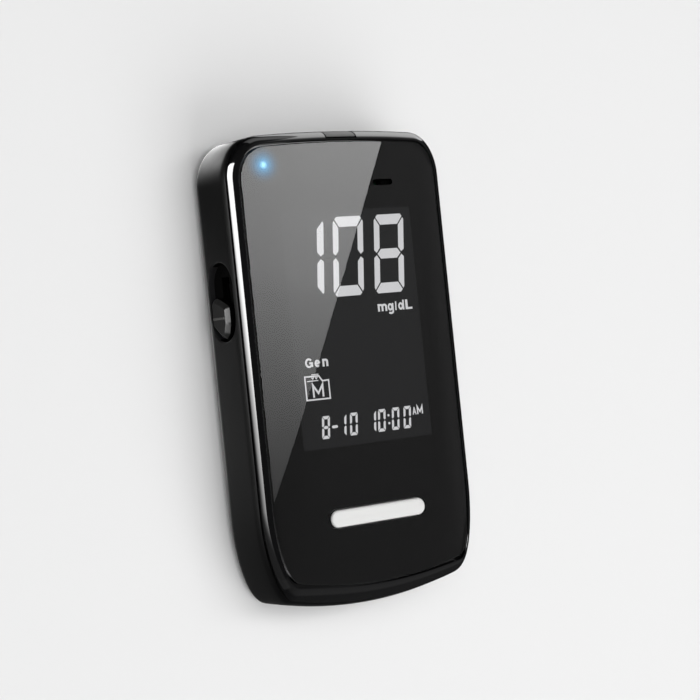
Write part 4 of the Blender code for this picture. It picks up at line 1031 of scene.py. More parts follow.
@dataclass(frozen=True)
class CellWrap(Finish):
    """Printed sleeve of a cell, plain and banded, with bare steel at both ends."""

    centre: Spot
    band_start: float
    band_end: float
    bare_radius: float = 4.5 * MM
    body: Colour = (0.060, 0.095, 0.130)
    band: Colour = (0.42, 0.44, 0.46)
    steel: Colour = (0.60, 0.60, 0.58)

    def dress(self, sketch: MaterialSketch) -> None:
        """Lay out the sleeve, its band and the bare ends.

        Args:
            sketch: the material.
        """
        across, along, up = sketch.node("ShaderNodeSeparateXYZ", sketch.place).outputs
        flat = sketch.node("ShaderNodeCombineXYZ", across, 0.0, up).outputs[0]
        out = sketch.measure("DISTANCE", flat, (self.centre[0], 0.0, self.centre[1]))
        bare = sketch.math("LESS_THAN", out, self.bare_radius)
        banded = sketch.ranged(along, self.band_start, self.band_end, 0.0, 1.0)
        wrap = sketch.blend(sketch.math("GREATER_THAN", banded, 0.5), self.body, self.band)
        sketch.put(Base_Color=sketch.blend(bare, wrap, self.steel),
                   Metallic=sketch.math("MULTIPLY_ADD", bare, 0.75, 0.25),
                   Roughness=sketch.smudged(0.28, Scale=120.0, Amount=0.12))


@dataclass(frozen=True)
class GuideSheet(Finish):
    """Milky light guide with its pattern of printed dots."""

    colour: Colour = (0.80, 0.82, 0.84)
    dot: Colour = (0.95, 0.95, 0.95)
    pitch: float = 1400.0

    def dress(self, sketch: MaterialSketch) -> None:
        """Lay out the dots.

        Args:
            sketch: the material.
        """
        dots = sketch.node("ShaderNodeTexVoronoi", sketch.place, None, self.pitch, Randomness=0.0)
        spot = sketch.math("LESS_THAN", dots.outputs["Distance"], 0.25)
        sketch.put(Base_Color=sketch.blend(spot, self.colour, self.dot), Roughness=0.25)
        sketch.bump(spot, 0.01 * MM)


class Palette:
    """Every finish of the meter, built when it is first asked for."""

    def __init__(self, lamp: Point) -> None:
        """List the finishes.

        Args:
            lamp: place of the status lamp, for the light that leaks round it.
        """
        self.effects = Effects()
        self.finishes: dict[str, Finish] = {}
        self.made: dict[str, Material] = {}
        for finish in (
            Plastic("satin_shell", (0.0045, 0.0045, 0.0047), 0.38, 0.14, wear=0.10, dust=0.06),
            # painted shade: near-black for hollows where shade falls, namely the ejector's pocket, the
            # face's small slot and the knob's skirt
            Plastic("pocket_black", (0.0012, 0.0012, 0.0012), 0.60, 0.02, dust=0.0),
            # painted light: lighter grey for the pocket's lower wall that faces up into the light
            Plastic("pocket_lip", (0.020, 0.020, 0.021), 0.45, 0.10, dust=0.0),
            # painted highlight: light grey for the top of the knob's grip ridge, where light catches it
            Plastic("ridge_grey", (0.090, 0.090, 0.086), 0.30, dust=0.0),
            Plastic("gloss_bezel", (0.0040, 0.0040, 0.0043), 0.045, grain_depth=0.0, smudge=0.02,
                    dust=0.10),
            Plastic("port_trim", (0.0060, 0.0060, 0.0062), 0.34, 0.25),
            Plastic("knob_black", (0.0110, 0.0110, 0.0106), 0.34, 0.40, wear=0.35),
            Plastic("key_ivory", (0.71, 0.71, 0.70), 0.34, cloud=0.02, grain_depth=0.002 * MM,
                    smudge=0.05, dust=0.02),
            Plastic("inner_white", (0.56, 0.56, 0.55), 0.48, cloud=0.04),
            Plastic("chip_epoxy", (0.022, 0.022, 0.024), 0.62, grain_scale=5000.0),
            Plastic("contact_rubber", (0.060, 0.060, 0.064), 0.80, grain_depth=0.01 * MM),
            Plastic("gasket_foam", (0.030, 0.030, 0.032), 0.92, grain_scale=1500.0,
                    grain_depth=0.08 * MM, dust=0.0),
            Plastic("speaker_can", (0.020, 0.020, 0.022), 0.45),
            Plastic("lamp_moulding", (0.72, 0.76, 0.80), 0.30, cloud=0.02),
            Metal("spring_steel", (0.62, 0.62, 0.60), 0.30),
            Metal("gold_plate", (0.83, 0.61, 0.26), 0.26),
            Metal("screw_zinc", (0.42, 0.42, 0.43), 0.36, stretch=(6.0, 6.0, 1.0)),
            ClearPlastic("smoked_lens", (0.86, 0.86, 0.87)),
            ClearPlastic("clear_pipe", (0.75, 0.88, 0.97), 0.05),
            PrintedFilm("lens_print", lamp),
            Glowing("lit_segment", (0.30, 0.30, 0.30), (0.92, 0.92, 0.93), 0.77),
            Glowing("dark_window", (0.0050, 0.0051, 0.0054), (0.55, 0.56, 0.58), 0.019,
                    specular=0.0),
            BoardResist("board_resist"),
            GuideSheet("guide_sheet"),
        ):
            self.add(finish)

    def add(self, finish: Finish) -> str:
        """Take in a finish and return its name."""
        self.finishes[finish.name] = finish
        return finish.name

    def __getitem__(self, name: str) -> Material:
        """Material of a finish.

        Args:
            name: name of the finish.

        Returns:
            The material, the same one each time.
        """
        if name not in self.made:
            self.made[name] = self.finishes[name].make(self.effects)
        return self.made[name]


# Outline of the body and the places on it

@dataclass(frozen=True)
class BodyOutline:
    """Outline of the body seen from the front, its lean and the crown of its face."""

    half_length: float = 50.5 * MM
    half_width: float = 27.0 * MM
    face_z: float = 18.3397 * MM
    top_arc: float = 350 * MM
    bottom_arc: float = 90 * MM
    top_run: float = 7.5 * MM
    top_rise: float = 8.8 * MM
    top_widening: float = 0.27
    top_widening_reach: float = 2.0 * MM
    bottom_run: float = 6.0 * MM
    bottom_rise: float = 18.0 * MM
    lean: float = 3.0 * MM
    crown: float = 1.8 * MM
    crown_reach: float = 25.0 * MM
    crown_power: int = 4
    stations: int = 44

    def crown_z(self, x: float, below: float = 0.0) -> float:
        """Height of the crowned face at one place across the body."""
        return self.face_z - self.crown * (abs(x) / self.crown_reach) ** self.crown_power - below

    def crown_normal(self, x: float) -> Vector:
        """Normal of the crowned face.

        Args:
            x: place across the body.

        Returns:
            The normal.
        """
        share = (abs(x) / self.crown_reach) ** (self.crown_power - 1)
        slope = math.copysign(self.crown * self.crown_power / self.crown_reach * share, x)
        return Vector((slope, 0.0, 1.0)).normalized()

    def corner(self, x: float, start: float, run: float, rise: float) -> float:
        """How far an elliptical corner has fallen at x."""
        over = min(max(abs(x) - start, 0.0) / run, 1.0)
        return rise * (1 - math.sqrt(1 - over * over))

    def arc(self, x: float, radius: float) -> float:
        """How far a shallow arc has fallen at x."""
        return radius - math.sqrt(radius ** 2 - x ** 2)

    def top_edge(self, x: float, inset: float) -> float:
        """Upper outline.

        Args:
            x: place across the body.
            inset: how far the outline is drawn in.

        Returns:
            The outline's Y.
        """
        corner = self.corner(x, self.half_width - self.top_run, self.top_run - inset,
                             self.top_rise - inset)
        extra = self.top_widening * min(inset, self.top_widening_reach)
        return self.half_length - inset - extra - self.arc(x, self.top_arc) - corner

    def bottom_edge(self, x: float, inset: float, z: float) -> float:
        """Lower outline, which leans outwards towards the face.

        Args:
            x: place across the body.
            inset: how far the outline is drawn in.
            z: height.

        Returns:
            The outline's Y.
        """
        corner = self.corner(x, self.half_width - self.bottom_run, self.bottom_run - inset,
                             self.bottom_rise - inset)
        edge = -self.half_length + inset + self.arc(x, self.bottom_arc) + corner
        over = max(z / self.face_z * 2 - 1, 0.0)
        return edge * (1 - self.lean * over * over / self.half_length)

    def row(self, inset: float, height: float | Callable[[float], float],
            lean_z: float | None = None) -> list[Point]:
        """One level of the outline, anticlockwise from above.

        Args:
            inset: how far the level is drawn in.
            height: a height, or a function of x where the level follows the crown.
            lean_z: height whose lean the lower end takes, if not the level's own.

        Returns:
            The points of the level.
        """
        lower, upper = [], []
        for step in range(-self.stations, self.stations + 1):
            x = (self.half_width - inset) * math.sin(math.pi / 2 * step / self.stations)
            z = height(x) if callable(height) else height
            lower.append((x, self.bottom_edge(x, inset, z if lean_z is None else lean_z), z))
            upper.append((x, self.top_edge(x, inset), z))
        return lower + upper[::-1]

    def crowned(self, inset: float, below: float) -> list[Point]:
        """One level of the outline that lies below the crowned face by the same amount."""
        return self.row(inset, lambda x: self.crown_z(x, below), self.face_z)

    def roll(self, inset: float, start_z: float, steps: int = 16) -> list[list[Point]]:
        """Levels that round the side over into the face.

        Args:
            inset: how far the last level is drawn in.
            start_z: height of the first level.
            steps: bands between the levels.

        Returns:
            The levels from below.
        """
        rows = []
        for turn in (math.pi / 2 * step / steps for step in range(steps + 1)):
            rows.append(self.row(
                inset * (1 - math.cos(turn)),
                lambda x, s=math.sin(turn): start_z + (self.crown_z(x) - start_z) * s))
        return rows

    def back_roll(self, radius: float, steps: int = 10) -> list[list[Point]]:
        """Levels that round the back's edge up into the side."""
        turns = [math.pi / 2 * step / steps for step in range(steps + 1)]
        return [self.row(radius * (1 - math.sin(t)), radius * (1 - math.cos(t))) for t in turns]


@dataclass(frozen=True)
class Plan:
    """Places that several sub-assemblies share."""

    lamp: Spot = mm(-19.2, 43.6)
    lamp_z: float = 16.58 * MM
    slot: Spot = mm(9.6, 38.9)
    slot_half_length: float = 2.6 * MM
    slot_half_height: float = 0.65 * MM
    key: Spot = (0.0, -31.2 * MM)
    key_half_length: float = 12.2 * MM
    key_half_height: float = 1.83 * MM
    key_gap: float = 0.22 * MM
    set_key: Spot = (0.0, 10.1 * MM)
    door_low: Spot = mm(-13.05, -44.1)
    door_high: Spot = mm(13.05, 15.1)
    door_corner: float = 2.0 * MM
    hook_x: float = 7 * MM
    flange: Spot = mm(13.1, 2.73)
    knob_z: float = 7.392 * MM
    speaker: Spot = mm(7.0, 26.0)
    screw_x: float = 22.2 * MM
    screw_top_y: float = 36.5 * MM
    screw_bottom_y: float = -34.0 * MM
    post_radius: float = 2.3 * MM

    def screws(self) -> list[Spot]:
        """Places of the four screws."""
        return [(side * self.screw_x, y) for y in (self.screw_top_y, self.screw_bottom_y)
                for side in (-1, 1)]

    def slot_hole(self) -> Draft:
        """Tool for the small slot in the face."""
        return prism(stadium(self.slot, self.slot_half_length, self.slot_half_height),
                     UNDER_FACE, OVER_FACE)

    def key_hole(self, gap: float) -> Draft:
        """Tool for the opening round the key."""
        return prism(drawn_slot(self.key, self.key_half_length, self.key_half_height)(-gap),
                     UNDER_FACE, OVER_FACE)


# Sub-assemblies

@dataclass
class Shop:
    """What every sub-assembly works with."""

    outline: BodyOutline
    palette: Palette
    trees: Trees
    nodes: dict[str, Item]
    plan: Plan
    made: dict[str, Item] = field(default_factory=dict)

    def fit(self, item: Item, body: Body, *nodes: str, finish: str = "", slot: str = "") -> None:
        """Let a finished piece ride on its body and stand for its CAD nodes.

        Args:
            item: the piece, at the origin.
            body: the body that it rides on.
            nodes: the CAD nodes that it replaces.
            finish: its finish, if it isn't painted yet.
            slot: the CAD node that it belongs to, if it replaces none; not used.
        """
        if finish:
            paint(item, self.palette[finish])
        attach(item, body.value)
        if nodes:
            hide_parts(*nodes)
        slot or nodes[0]
        self.made[item.name] = item
        LOG.info("%s rides on %s, %d faces", item.name, body.value, len(item.data.polygons))

    def keep(self, finish: str, *nodes: str) -> None:
        """Dress CAD nodes that stay as they are.

        Args:
            finish: their finish.
            nodes: the nodes.
        """
        for name in nodes:
            paint(self.nodes[name], self.palette[finish])
            LOG.info("%s stays, in %s", name, finish)

    def spring(self, name: str, node: str, finish: str, place: Matrix, **sizes: float) -> Item:
        """Wind a spring, carry it to its place and let it stand for its CAD node.

        Args:
            name: name of the piece.
            node: the CAD node that it replaces.
            finish: its finish.
            place: what carries it from the origin, where it stands along Z.
            sizes: inputs of the winding tree.

        Returns:
            The spring.
        """
        wire = self.trees.wire.grow(name, Draft(), self.palette[finish], **sizes)
        wire.data.transform(place)
        self.fit(wire, Body.METER, node)
        return wire


@dataclass
class StripPort:
    """Port in the top end: trim, socket and contacts."""

    shop: Shop
    half_width: float = 3.7 * MM
    depth: float = 1.6 * MM
    low_z: float = 8.1 * MM
    strip_z: float = 10.7 * MM
    mouth_half_width: float = 3.3 * MM
    mouth_half_height: float = 0.8 * MM
    mouth_corner: float = 0.4 * MM
    sleeve_y: float = 47.5 * MM
    sleeve_half_height: float = 1.2 * MM
    sleeve_sink: float = 0.8 * MM
    bezel_start_z: float = 14.69 * MM

    def notch(self, grow: float) -> Draft:
        """Space of the trim, grown by a clearance."""
        y = self.shop.outline.half_length
        return block((-self.half_width - grow, y - self.depth - grow, self.low_z - grow),
                     (self.half_width + grow, y + 4 * MM, OVER_FACE))

    def mouth(self) -> Draft:
        """Tool for the mouth, which flares out towards the end.

        Returns:
            The tool.
        """
        y, levels = self.shop.outline.half_length, []
        for level, grow in ((self.sleeve_y - MM, 0.0), (y - 0.55 * MM, 0.0), (y - 0.3 * MM, 0.05 * MM),
                            (y - 0.1 * MM, 0.22 * MM), (y + 0.1 * MM, 0.5 * MM), (y + MM, 0.6 * MM)):
            wide, high = self.mouth_half_width + grow * 0.6, self.mouth_half_height + grow
            levels.append((rounded_plate((-wide, self.strip_z - high), (wide, self.strip_z + high),
                                         self.mouth_corner + grow / 2), level))
        return layered(levels, Along.Y)

    def build(self) -> None:
        """Make the trim, flush with the shells, and its flared mouth."""
        outline = self.shop.outline
        rows = outline.back_roll(3 * MM) + outline.roll(1.7 * MM, self.bezel_start_z)
        trim = new_object("strip_port_surround", tower(rows, crowned=True))
        carve(trim, [self.notch(0.0)], "INTERSECT")
        carve(trim, [block((-self.half_width, self.sleeve_y, self.strip_z - self.sleeve_half_height),
                           (self.half_width, outline.half_length - self.sleeve_sink,
                            self.strip_z + self.sleeve_half_height))], "UNION")
        carve(trim, [self.mouth()])
        smooth(trim)
        self.shop.fit(trim, Body.METER, "strip_port_trim", finish="port_trim")
        self.shop.keep("inner_white", "strip_socket")
        self.shop.keep("gold_plate", "strip_contact_1", "strip_contact_2", "strip_contact_3")


@dataclass
class RearShell:
    """Satin back and sides, with the cell bay, the ejector's pocket and the speaker holes."""

    shop: Shop
    port: StripPort
    wall: float = 1.8 * MM
    floor: float = 1.6 * MM
    rim_z: float = 13.49 * MM
    lip: float = 1.9 * MM
    edge_radius: float = 3.0 * MM
    door_seat: float = 1.2 * MM
    door_seat_top: float = 2.8 * MM
    bay_low: Spot = mm(-11.05, -42.9)
    bay_high: Spot = mm(11.05, 6.2)
    bay_roof: float = 12.5 * MM
    bay_wall: float = 0.7 * MM
    well_low: Spot = mm(-4.0, 7.1)
    well_high: Spot = mm(4.0, 13.1)
    well_depth: float = 4.6 * MM
    well_wall: float = 0.9 * MM
    pocket_y: float = 16.25 * MM
    pocket_half_length: float = 8.25 * MM
    pocket_half_width: float = 4.8 * MM
    pocket_floor_x: float = -25.4 * MM
    pocket_back_x: float = -23.8 * MM
    pocket_top_z: float = 11.79 * MM
    grille_pitch: float = 2.4 * MM
    fit: float = 0.3 * MM

    def shell(self) -> Draft:
        """Outer skin, lip and inner wall.

        Returns:
            The closed shape.
        """
        outline = self.shop.outline
        rows = outline.back_roll(self.edge_radius)
        rows += [outline.row(0.0, z * MM) for z in (6.0, 9.2, 10.0, 10.7, 11.3)]
        for share in (step / 8 for step in range(1, 9)):
            rows.append(outline.row(0.30 * MM * share ** 2,
                                    self.rim_z - self.lip + (self.lip - 0.22 * MM) * share))
        rows.append(outline.row(0.36 * MM, self.rim_z - 0.08 * MM))
        rows.append(outline.row(0.50 * MM, self.rim_z))
        rows += [outline.row(self.wall, z, outline.face_z) for z in (self.rim_z, self.floor)]
        return tower(rows)

    def raised(self, low: Spot, high: Spot, margin: float, top: float) -> Draft:
        """Block that stands in the floor round a space."""
        return block((low[0] - margin, low[1] - margin, self.floor / 2),
                     (high[0] + margin, high[1] + margin, top))

    def walls(self) -> list[Draft]:
        """Blocks that carry the door, the bay, the set key's well, the pocket and the screws.

        Returns:
            The blocks.
        """
        plan, side = self.shop.plan, -self.shop.outline.half_width + self.wall / 2
        reach = self.pocket_half_length + self.wall
        return [
            self.raised(plan.door_low, plan.door_high, self.door_seat, self.door_seat_top),
            self.raised(self.bay_low, self.bay_high, self.bay_wall, self.bay_roof + self.bay_wall),
            self.raised((self.well_low[0], self.bay_high[1]), self.well_high, self.well_wall,
                        self.well_depth + self.well_wall),
            self.raised((side, self.pocket_y - reach),
                        (self.pocket_back_x, self.pocket_y + reach), 0.0, self.pocket_top_z),
            self.raised((side, 32.6 * MM), mm(-20.1, 33.8), 0.0, 7.39 * MM),
            *(prism(circle(place, plan.post_radius), self.floor / 2, 4.6 * MM)
              for place in plan.screws()),
        ]

    def door_recess(self) -> Draft:
        """Tool for the door's recess, opened out at the back's face."""
        (left, foot), (right, top) = self.shop.plan.door_low, self.shop.plan.door_high
        wide = drawn_plate((left - self.fit, foot - 0.2 * MM), (right + self.fit, top + self.fit),
                           self.shop.plan.door_corner)
        return stepped(wide, ((-0.25, -4), (-0.25, 0), (-0.05, 0.2), (0, 0.35), (0, 1.6)))

    def pocket_tool(self) -> Draft:
        """Tool for the ejector's pocket, with a rounded lip at the side's face."""
        slot = drawn_slot((self.pocket_y, self.shop.plan.knob_z), self.pocket_half_length,
                          self.pocket_half_width, 24)
        return stepped(slot, ((-0.45, -31), (-0.45, -27), (-0.22, -26.92), (-0.06, -26.75),
                              (0, -26.5), (0, self.pocket_floor_x / MM)), Along.X)

    def build(self) -> None:
        """Make the shell and cut its openings."""
        plan, pocket_z = self.shop.plan, self.shop.plan.knob_z
        shell = new_object("rear_shell", self.shell())
        carve(shell, self.walls(), "UNION")
        tools: list[Draft | Item] = [
            block((*self.bay_low, UNDER_BACK), (*self.bay_high, self.bay_roof)),
            block((*self.well_low, UNDER_BACK), (*self.well_high, self.well_depth)),
            self.door_recess(),
            self.port.notch(self.fit),
            self.pocket_tool(),
            block((self.pocket_floor_x - 4 * MM, 10.8 * MM, pocket_z - 1.5 * MM),
                  (-22.8 * MM, 21.5 * MM, pocket_z + 1.5 * MM)),
            block(mm(-3.3, 13.9, 0.4), mm(3.3, 15.4, 4.1)),
            prism(circle(plan.set_key, 2.2 * MM), 0.0, 9.5 * MM),
        ]
        for x in (-plan.hook_x, plan.hook_x):
            tools.append(block((x - 2.3 * MM, plan.door_low[1] - 1.1 * MM, 0.5 * MM),
                               (x + 2.3 * MM, plan.door_low[1] + 0.8 * MM, 1.7 * MM)))
        for place in plan.screws():
            tools.append(flared_hole(place, 2.1 * MM, 3.4 * MM, 0.25 * MM, 40))
            tools.append(prism(circle(place, 1.1 * MM), UNDER_BACK, 5.8 * MM))
        hole = flared_hole((0.0, 0.0), 0.6 * MM, 3.6 * MM, 0.18 * MM, 20)
        tools.append(self.shop.trees.rings.grow("grille_tool", hole, None, Pitch=self.grille_pitch,
                                                Centre=(*plan.speaker, 0.0)))
        carve(shell, tools)
        smooth(shell)
        paint(shell, self.shop.palette["satin_shell"])
        # the pocket's faces are painted near-black as painted shade
        repaint(shell, self.shop.palette["pocket_black"], self.in_pocket)
        # the pocket's upward-facing lower wall is painted lighter as painted light
        repaint(shell, self.shop.palette["pocket_lip"], self.lit_in_pocket)
        self.shop.fit(shell, Body.METER, "rear_cover")

    def in_pocket(self, face: Face) -> bool:
        """Whether a face lies inside the pocket, where near-black painted shade goes."""
        x, y, z = face.center
        return (-26.7 * MM < x < -23.0 * MM
                and abs(y - self.pocket_y) < self.pocket_half_length + 0.1 * MM
                and abs(z - self.shop.plan.knob_z) < self.pocket_half_width + 0.1 * MM)

    def lit_in_pocket(self, face: Face) -> bool:
        """Whether a face belongs to the pocket's wall that the light reaches, which is painted lighter as
        painted light.
        """
        low = self.shop.plan.knob_z - self.pocket_half_width / 2
        return self.in_pocket(face) and face.normal.z > 0.4 and face.center.z < low


@dataclass
class FrontShell:
    """Glossy front shell: bezel, bed of the lens and windows."""

    shop: Shop
    port: StripPort
    skirt_z: float = 14.39 * MM
    bezel: float = 1.7 * MM
    tongue_z: float = 12.09 * MM
    ceiling: float = 14.7 * MM
    frame_low: Spot = mm(-19.7, -20.2)
    frame_high: Spot = mm(19.7, 37.3)
    frame_z: float = 13.7 * MM
    post_low: float = 4.9 * MM
    post_high: float = 15.0 * MM
    pilot_radius: float = 0.95 * MM
    pilot_high: float = 9.7 * MM
    lamp_radius: float = 1.4 * MM
    fit: float = 0.3 * MM

    def shell(self) -> Draft:
        """Inner wall, skirt, bezel and the bed of the lens.

        Returns:
            The closed shape.
        """
        outline, skirt = self.shop.outline, self.skirt_z
        rows = [outline.row(inset * MM, z, outline.face_z) for inset, z in (
            (3.0, self.ceiling), (3.0, self.tongue_z), (2.1, self.tongue_z), (2.1, skirt))]
        for inset, rise in ((0.12, 0.0), (0.03, 0.04), (0.0, 0.12)):
            rows.append(outline.row(inset * MM, skirt + rise * MM))
        rows += outline.roll(self.bezel - 0.03 * MM, skirt + 0.3 * MM, 20)
        for below in mm(0.03, 1.3):
            rows.append(outline.row(self.bezel, lambda x, b=below: outline.crown_z(x, b)))
        return tower(rows, crowned=True)

    def build(self) -> None:
        """Make the shell and cut its openings."""
        plan = self.shop.plan
        shell = new_object("front_shell", self.shell())
        carve(shell, [prism(circle(place, plan.post_radius), self.post_low, self.post_high)
                      for place in plan.screws()], "UNION")
        carve(shell, [
            block((*self.frame_low, self.frame_z), (*self.frame_high, OVER_FACE)),
            prism(drawn_slot(plan.key, *plan.flange)(-self.fit), UNDER_FACE, 16.34 * MM),
            plan.key_hole(plan.key_gap),
            prism(circle(plan.lamp, self.lamp_radius), UNDER_FACE, 18.34 * MM),
            layered([(stadium(plan.slot, half * MM, plan.slot_half_height), z * MM)
                     for half, z in ((0.9, 10.7), (0.9, 16.3), (2.6, 16.6), (2.6, 18.34))]),
            self.port.notch(self.fit),
            *(prism(circle(place, self.pilot_radius), 0.0, self.pilot_high)
              for place in plan.screws()),
        ])
        smooth(shell, 40)
        paint(shell, self.shop.palette["gloss_bezel"])
        # the small slot's faces are painted near-black as painted shade
        repaint(shell, self.shop.palette["pocket_black"], self.in_slot)
        self.shop.fit(shell, Body.METER, "front_cover")

    def in_slot(self, face: Face) -> bool:
        """Whether a face lies inside the small slot, whose faces are painted near-black as painted shade.
        """
        plan, (x, y, z) = self.shop.plan, face.center
        return (abs(x - plan.slot[0]) < plan.slot_half_length + 0.1 * MM
                and abs(y - plan.slot[1]) < plan.slot_half_height + 0.1 * MM and z < 18.2 * MM)


@dataclass
class Lens:
    """Smoked window over the whole face, and the black print behind it."""

    shop: Shop
    inset: float = 2.0 * MM
    thickness: float = 1.1 * MM
    edge: float = 0.22 * MM
    edge_steps: int = 4
    window_low: Spot = mm(-16.6, -16.3)
    window_high: Spot = mm(16.6, 33.4)
    window_corner: float = 0.3 * MM
    film: float = 0.05 * MM
    film_inset: float = 0.1 * MM
    film_sink: float = 0.03 * MM
    film_gap: float = 0.3 * MM

    def sheet(self, name: str, rows: Sequence[Sequence[Point]], *tools: Draft) -> Item:
        """Crowned sheet through some levels, with its openings cut."""
        item = new_object(name, tower(rows, crowned=True))
        carve(item, [*tools, self.shop.plan.slot_hole()])
        return item

    def build(self) -> None:
        """Make the window and the print."""
        outline, plan = self.shop.outline, self.shop.plan
        rows = [outline.crowned(self.inset, self.thickness)]
        for turn in (math.pi / 2 * step / self.edge_steps for step in range(self.edge_steps + 1)):
            rows.append(outline.crowned(self.inset + self.edge * (1 - math.cos(turn)),
                                        self.edge * (1 - math.sin(turn))))
        lens = self.sheet("face_lens", rows, plan.key_hole(plan.key_gap))
        self.crown_normals(lens)
        self.shop.fit(lens, Body.METER, "front_lens", finish="smoked_lens")

        top = self.thickness + self.film_sink
        rows = [outline.crowned(self.inset + self.film_inset, below)
                for below in (top + self.film, top)]
        window = rounded_plate(self.window_low, self.window_high, self.window_corner)
        film = self.sheet("lens_print", rows, prism(window, UNDER_FACE, OVER_FACE),
                          plan.key_hole(self.film_gap))
        self.shop.fit(film, Body.METER, finish="lens_print", slot="front_lens")

    def crown_normals(self, item: Item) -> None:
        """Give the crowned faces their exact normals, so that reflections stay clean.

        Args:
            item: the lens.
        """
        smooth(item, 50, weighted=False)
        mesh = item.data
        normals = [Vector(corner.vector) for corner in mesh.corner_normals]
        crowned: dict[int, Vector] = {}
        for face in mesh.polygons:
            if face.normal.dot(self.true_normal(face.center.x, face)) > 0.9995:
                for vertex in face.vertices:
                    crowned[vertex] = self.true_normal(mesh.vertices[vertex].co.x, face)
        for face in mesh.polygons:
            for loop in face.loop_indices:
                true = crowned.get(mesh.loops[loop].vertex_index)
                if true is not None and face.normal.dot(true) > 0.8:
                    normals[loop] = true
        mesh.normals_split_custom_set([tuple(normal) for normal in normals])

    def true_normal(self, x: float, face: Face) -> Vector:
        """Normal of the crown at x, on the side that the face looks to."""
        return self.shop.outline.crown_normal(x) * math.copysign(1.0, face.normal.z)


@dataclass
class MainKey:
    """White bar key below the display."""

    shop: Shop
    face_z: float = 18.4897 * MM
    dome: tuple[Spot, ...] = ((0.0, 2.7), (0.0, 0.62), (0.02, 0.50), (0.09, 0.36), (0.20, 0.25),
                              (0.36, 0.17), (0.60, 0.11), (0.95, 0.055), (1.35, 0.018), (1.78, 0.0))

    def build(self) -> None:
        """Make the cap with its soft dome, on the flange that keeps it in."""
        plan, face = self.shop.plan, self.face_z / MM
        cap = drawn_slot(plan.key, plan.key_half_length, plan.key_half_height)
        key = new_object("bar_key", stepped(cap, [(inset, face - sink) for inset, sink in self.dome]))
        carve(key, [stepped(drawn_slot(plan.key, *plan.flange),
                            ((0.1, 15.44), (0, 15.54), (0, 15.94), (0.1, 16.04)))], "UNION")
        smooth(key, 40)
        self.shop.fit(key, Body.MAIN_KEY, "main_key", finish="key_ivory")


# Display

class Stroke(Enum):
    """The seven strokes of a segment digit."""

    TOP = "top"
    MIDDLE = "middle"
    BOTTOM = "bottom"
    UPPER_LEFT = "upper left"
    UPPER_RIGHT = "upper right"
    LOWER_LEFT = "lower left"
    LOWER_RIGHT = "lower right"


@dataclass(frozen=True)
class Letters:
    """Plain upright letters drawn with strokes of one weight, a unit high."""

    weight: float = 0.20
    lower: float = 0.76

    def arc(self, centre: Spot, reach: Spot, start: float, end: float, steps: int = 14) -> list[Spot]:
        """Part of an ellipse between two angles in degrees."""
        turns = [math.radians(start + (end - start) * i / steps) for i in range(steps + 1)]
        return [(centre[0] + reach[0] * math.cos(t), centre[1] + reach[1] * math.sin(t)) for t in turns]

    def stroke(self, path: Sequence[Spot]) -> list[Spot]:
        """Outline of a line of this weight along a path, with mitred corners.

        Args:
            path: the places that the line runs through.

        Returns:
            The corners of the outline.
        """
        sides: tuple[list[Spot], list[Spot]] = ([], [])
        for i, spot in enumerate(path):
            here = Vector(spot)
            ways = [(Vector(b) - Vector(a)).normalized()
                    for a, b in zip(path[max(i - 1, 0):i + 1], path[max(i, 1):i + 2])]
            across = sum((Vector((-way.y, way.x)) for way in ways), Vector((0.0, 0.0)))
            across = across * (len(ways) * self.weight / 2 / across.length_squared)
            sides[0].append(tuple(here + across))
            sides[1].append(tuple(here - across))
        return sides[1] + sides[0][::-1]

    def paths(self, letter: str) -> list[list[Spot]]:
        """Centre lines of a letter, from its lower left corner.

        Args:
            letter: the letter.

        Returns:
            The places that each of its lines runs through.
        """
        w, x = self.weight / 2, self.lower
        bowl = (0.35, x / 2)
        reach = (0.35 - w, x / 2 - w)
        arch = self.arc((0.31, x - 0.26), (0.31 - w, 0.26 - w), 180, 0)
        second = self.arc((0.73, x - 0.26), (0.31 - w, 0.26 - w), 180, 0)
        round_bowl = [self.arc(bowl, reach, 80, 280), self.arc(bowl, reach, -100, 100)]
        return {
            "A": [[(0.04, 0.0), (0.36, 1.0 - w)], [(0.32, 1.0 - w), (0.64, 0.0)],
                  [(0.14, 0.30), (0.54, 0.30)]],
            "M": [[(w, 0.0), (w, 1.0 - w), (0.42, 0.30), (0.84 - w, 1.0 - w), (0.84 - w, 0.0)]],
            "L": [[(w, 1.0), (w, w), (0.62, w)]],
            "G": [self.arc((0.46, 0.5), (0.46 - w, 0.5 - w), 38, 318)
                  + [(0.92 - w, 0.20), (0.92 - w, 0.47), (0.50, 0.47)]],
            "d": [*round_bowl, [(0.72, 0.0), (0.72, 1.0)]],
            "e": [[(2 * w, x / 2), (0.70 - w, x / 2)], self.arc(bowl, reach, 0, 312)],
            "g": [*round_bowl, [(0.72, x), (0.72, -0.08)]
                  + self.arc((0.72 - 0.30, -0.08), (0.30, 0.17), -20, -150)],
            "m": [[(w, 0.0), (w, x)], arch + [(0.62 - w, 0.0)], second + [(1.04 - w, 0.0)]],
            "n": [[(w, 0.0), (w, x)], arch + [(0.62 - w, 0.0)]],
            "/": [[(0.05, 0.0), (0.12, 0.95)]],
        }[letter]

    def letter(self, letter: str, box: Sequence[float]) -> list[list[Spot]]:
        """Strokes of a letter whose width, baseline and cap height come from a box.

        Args:
            letter: the letter.
            box: left edge, baseline, right edge and cap line in millimetres.

        Returns:
            Outlines that may overlap.
        """
        left, base, right, top = (value * MM for value in box)
        shapes = [self.stroke(path) for path in self.paths(letter)]
        low = min(x for shape in shapes for x, _ in shape)
        high = max(x for shape in shapes for x, _ in shape)
        return [[(left + (x - low) / (high - low) * (right - left), base + y * (top - base))
                 for x, y in shape] for shape in shapes]


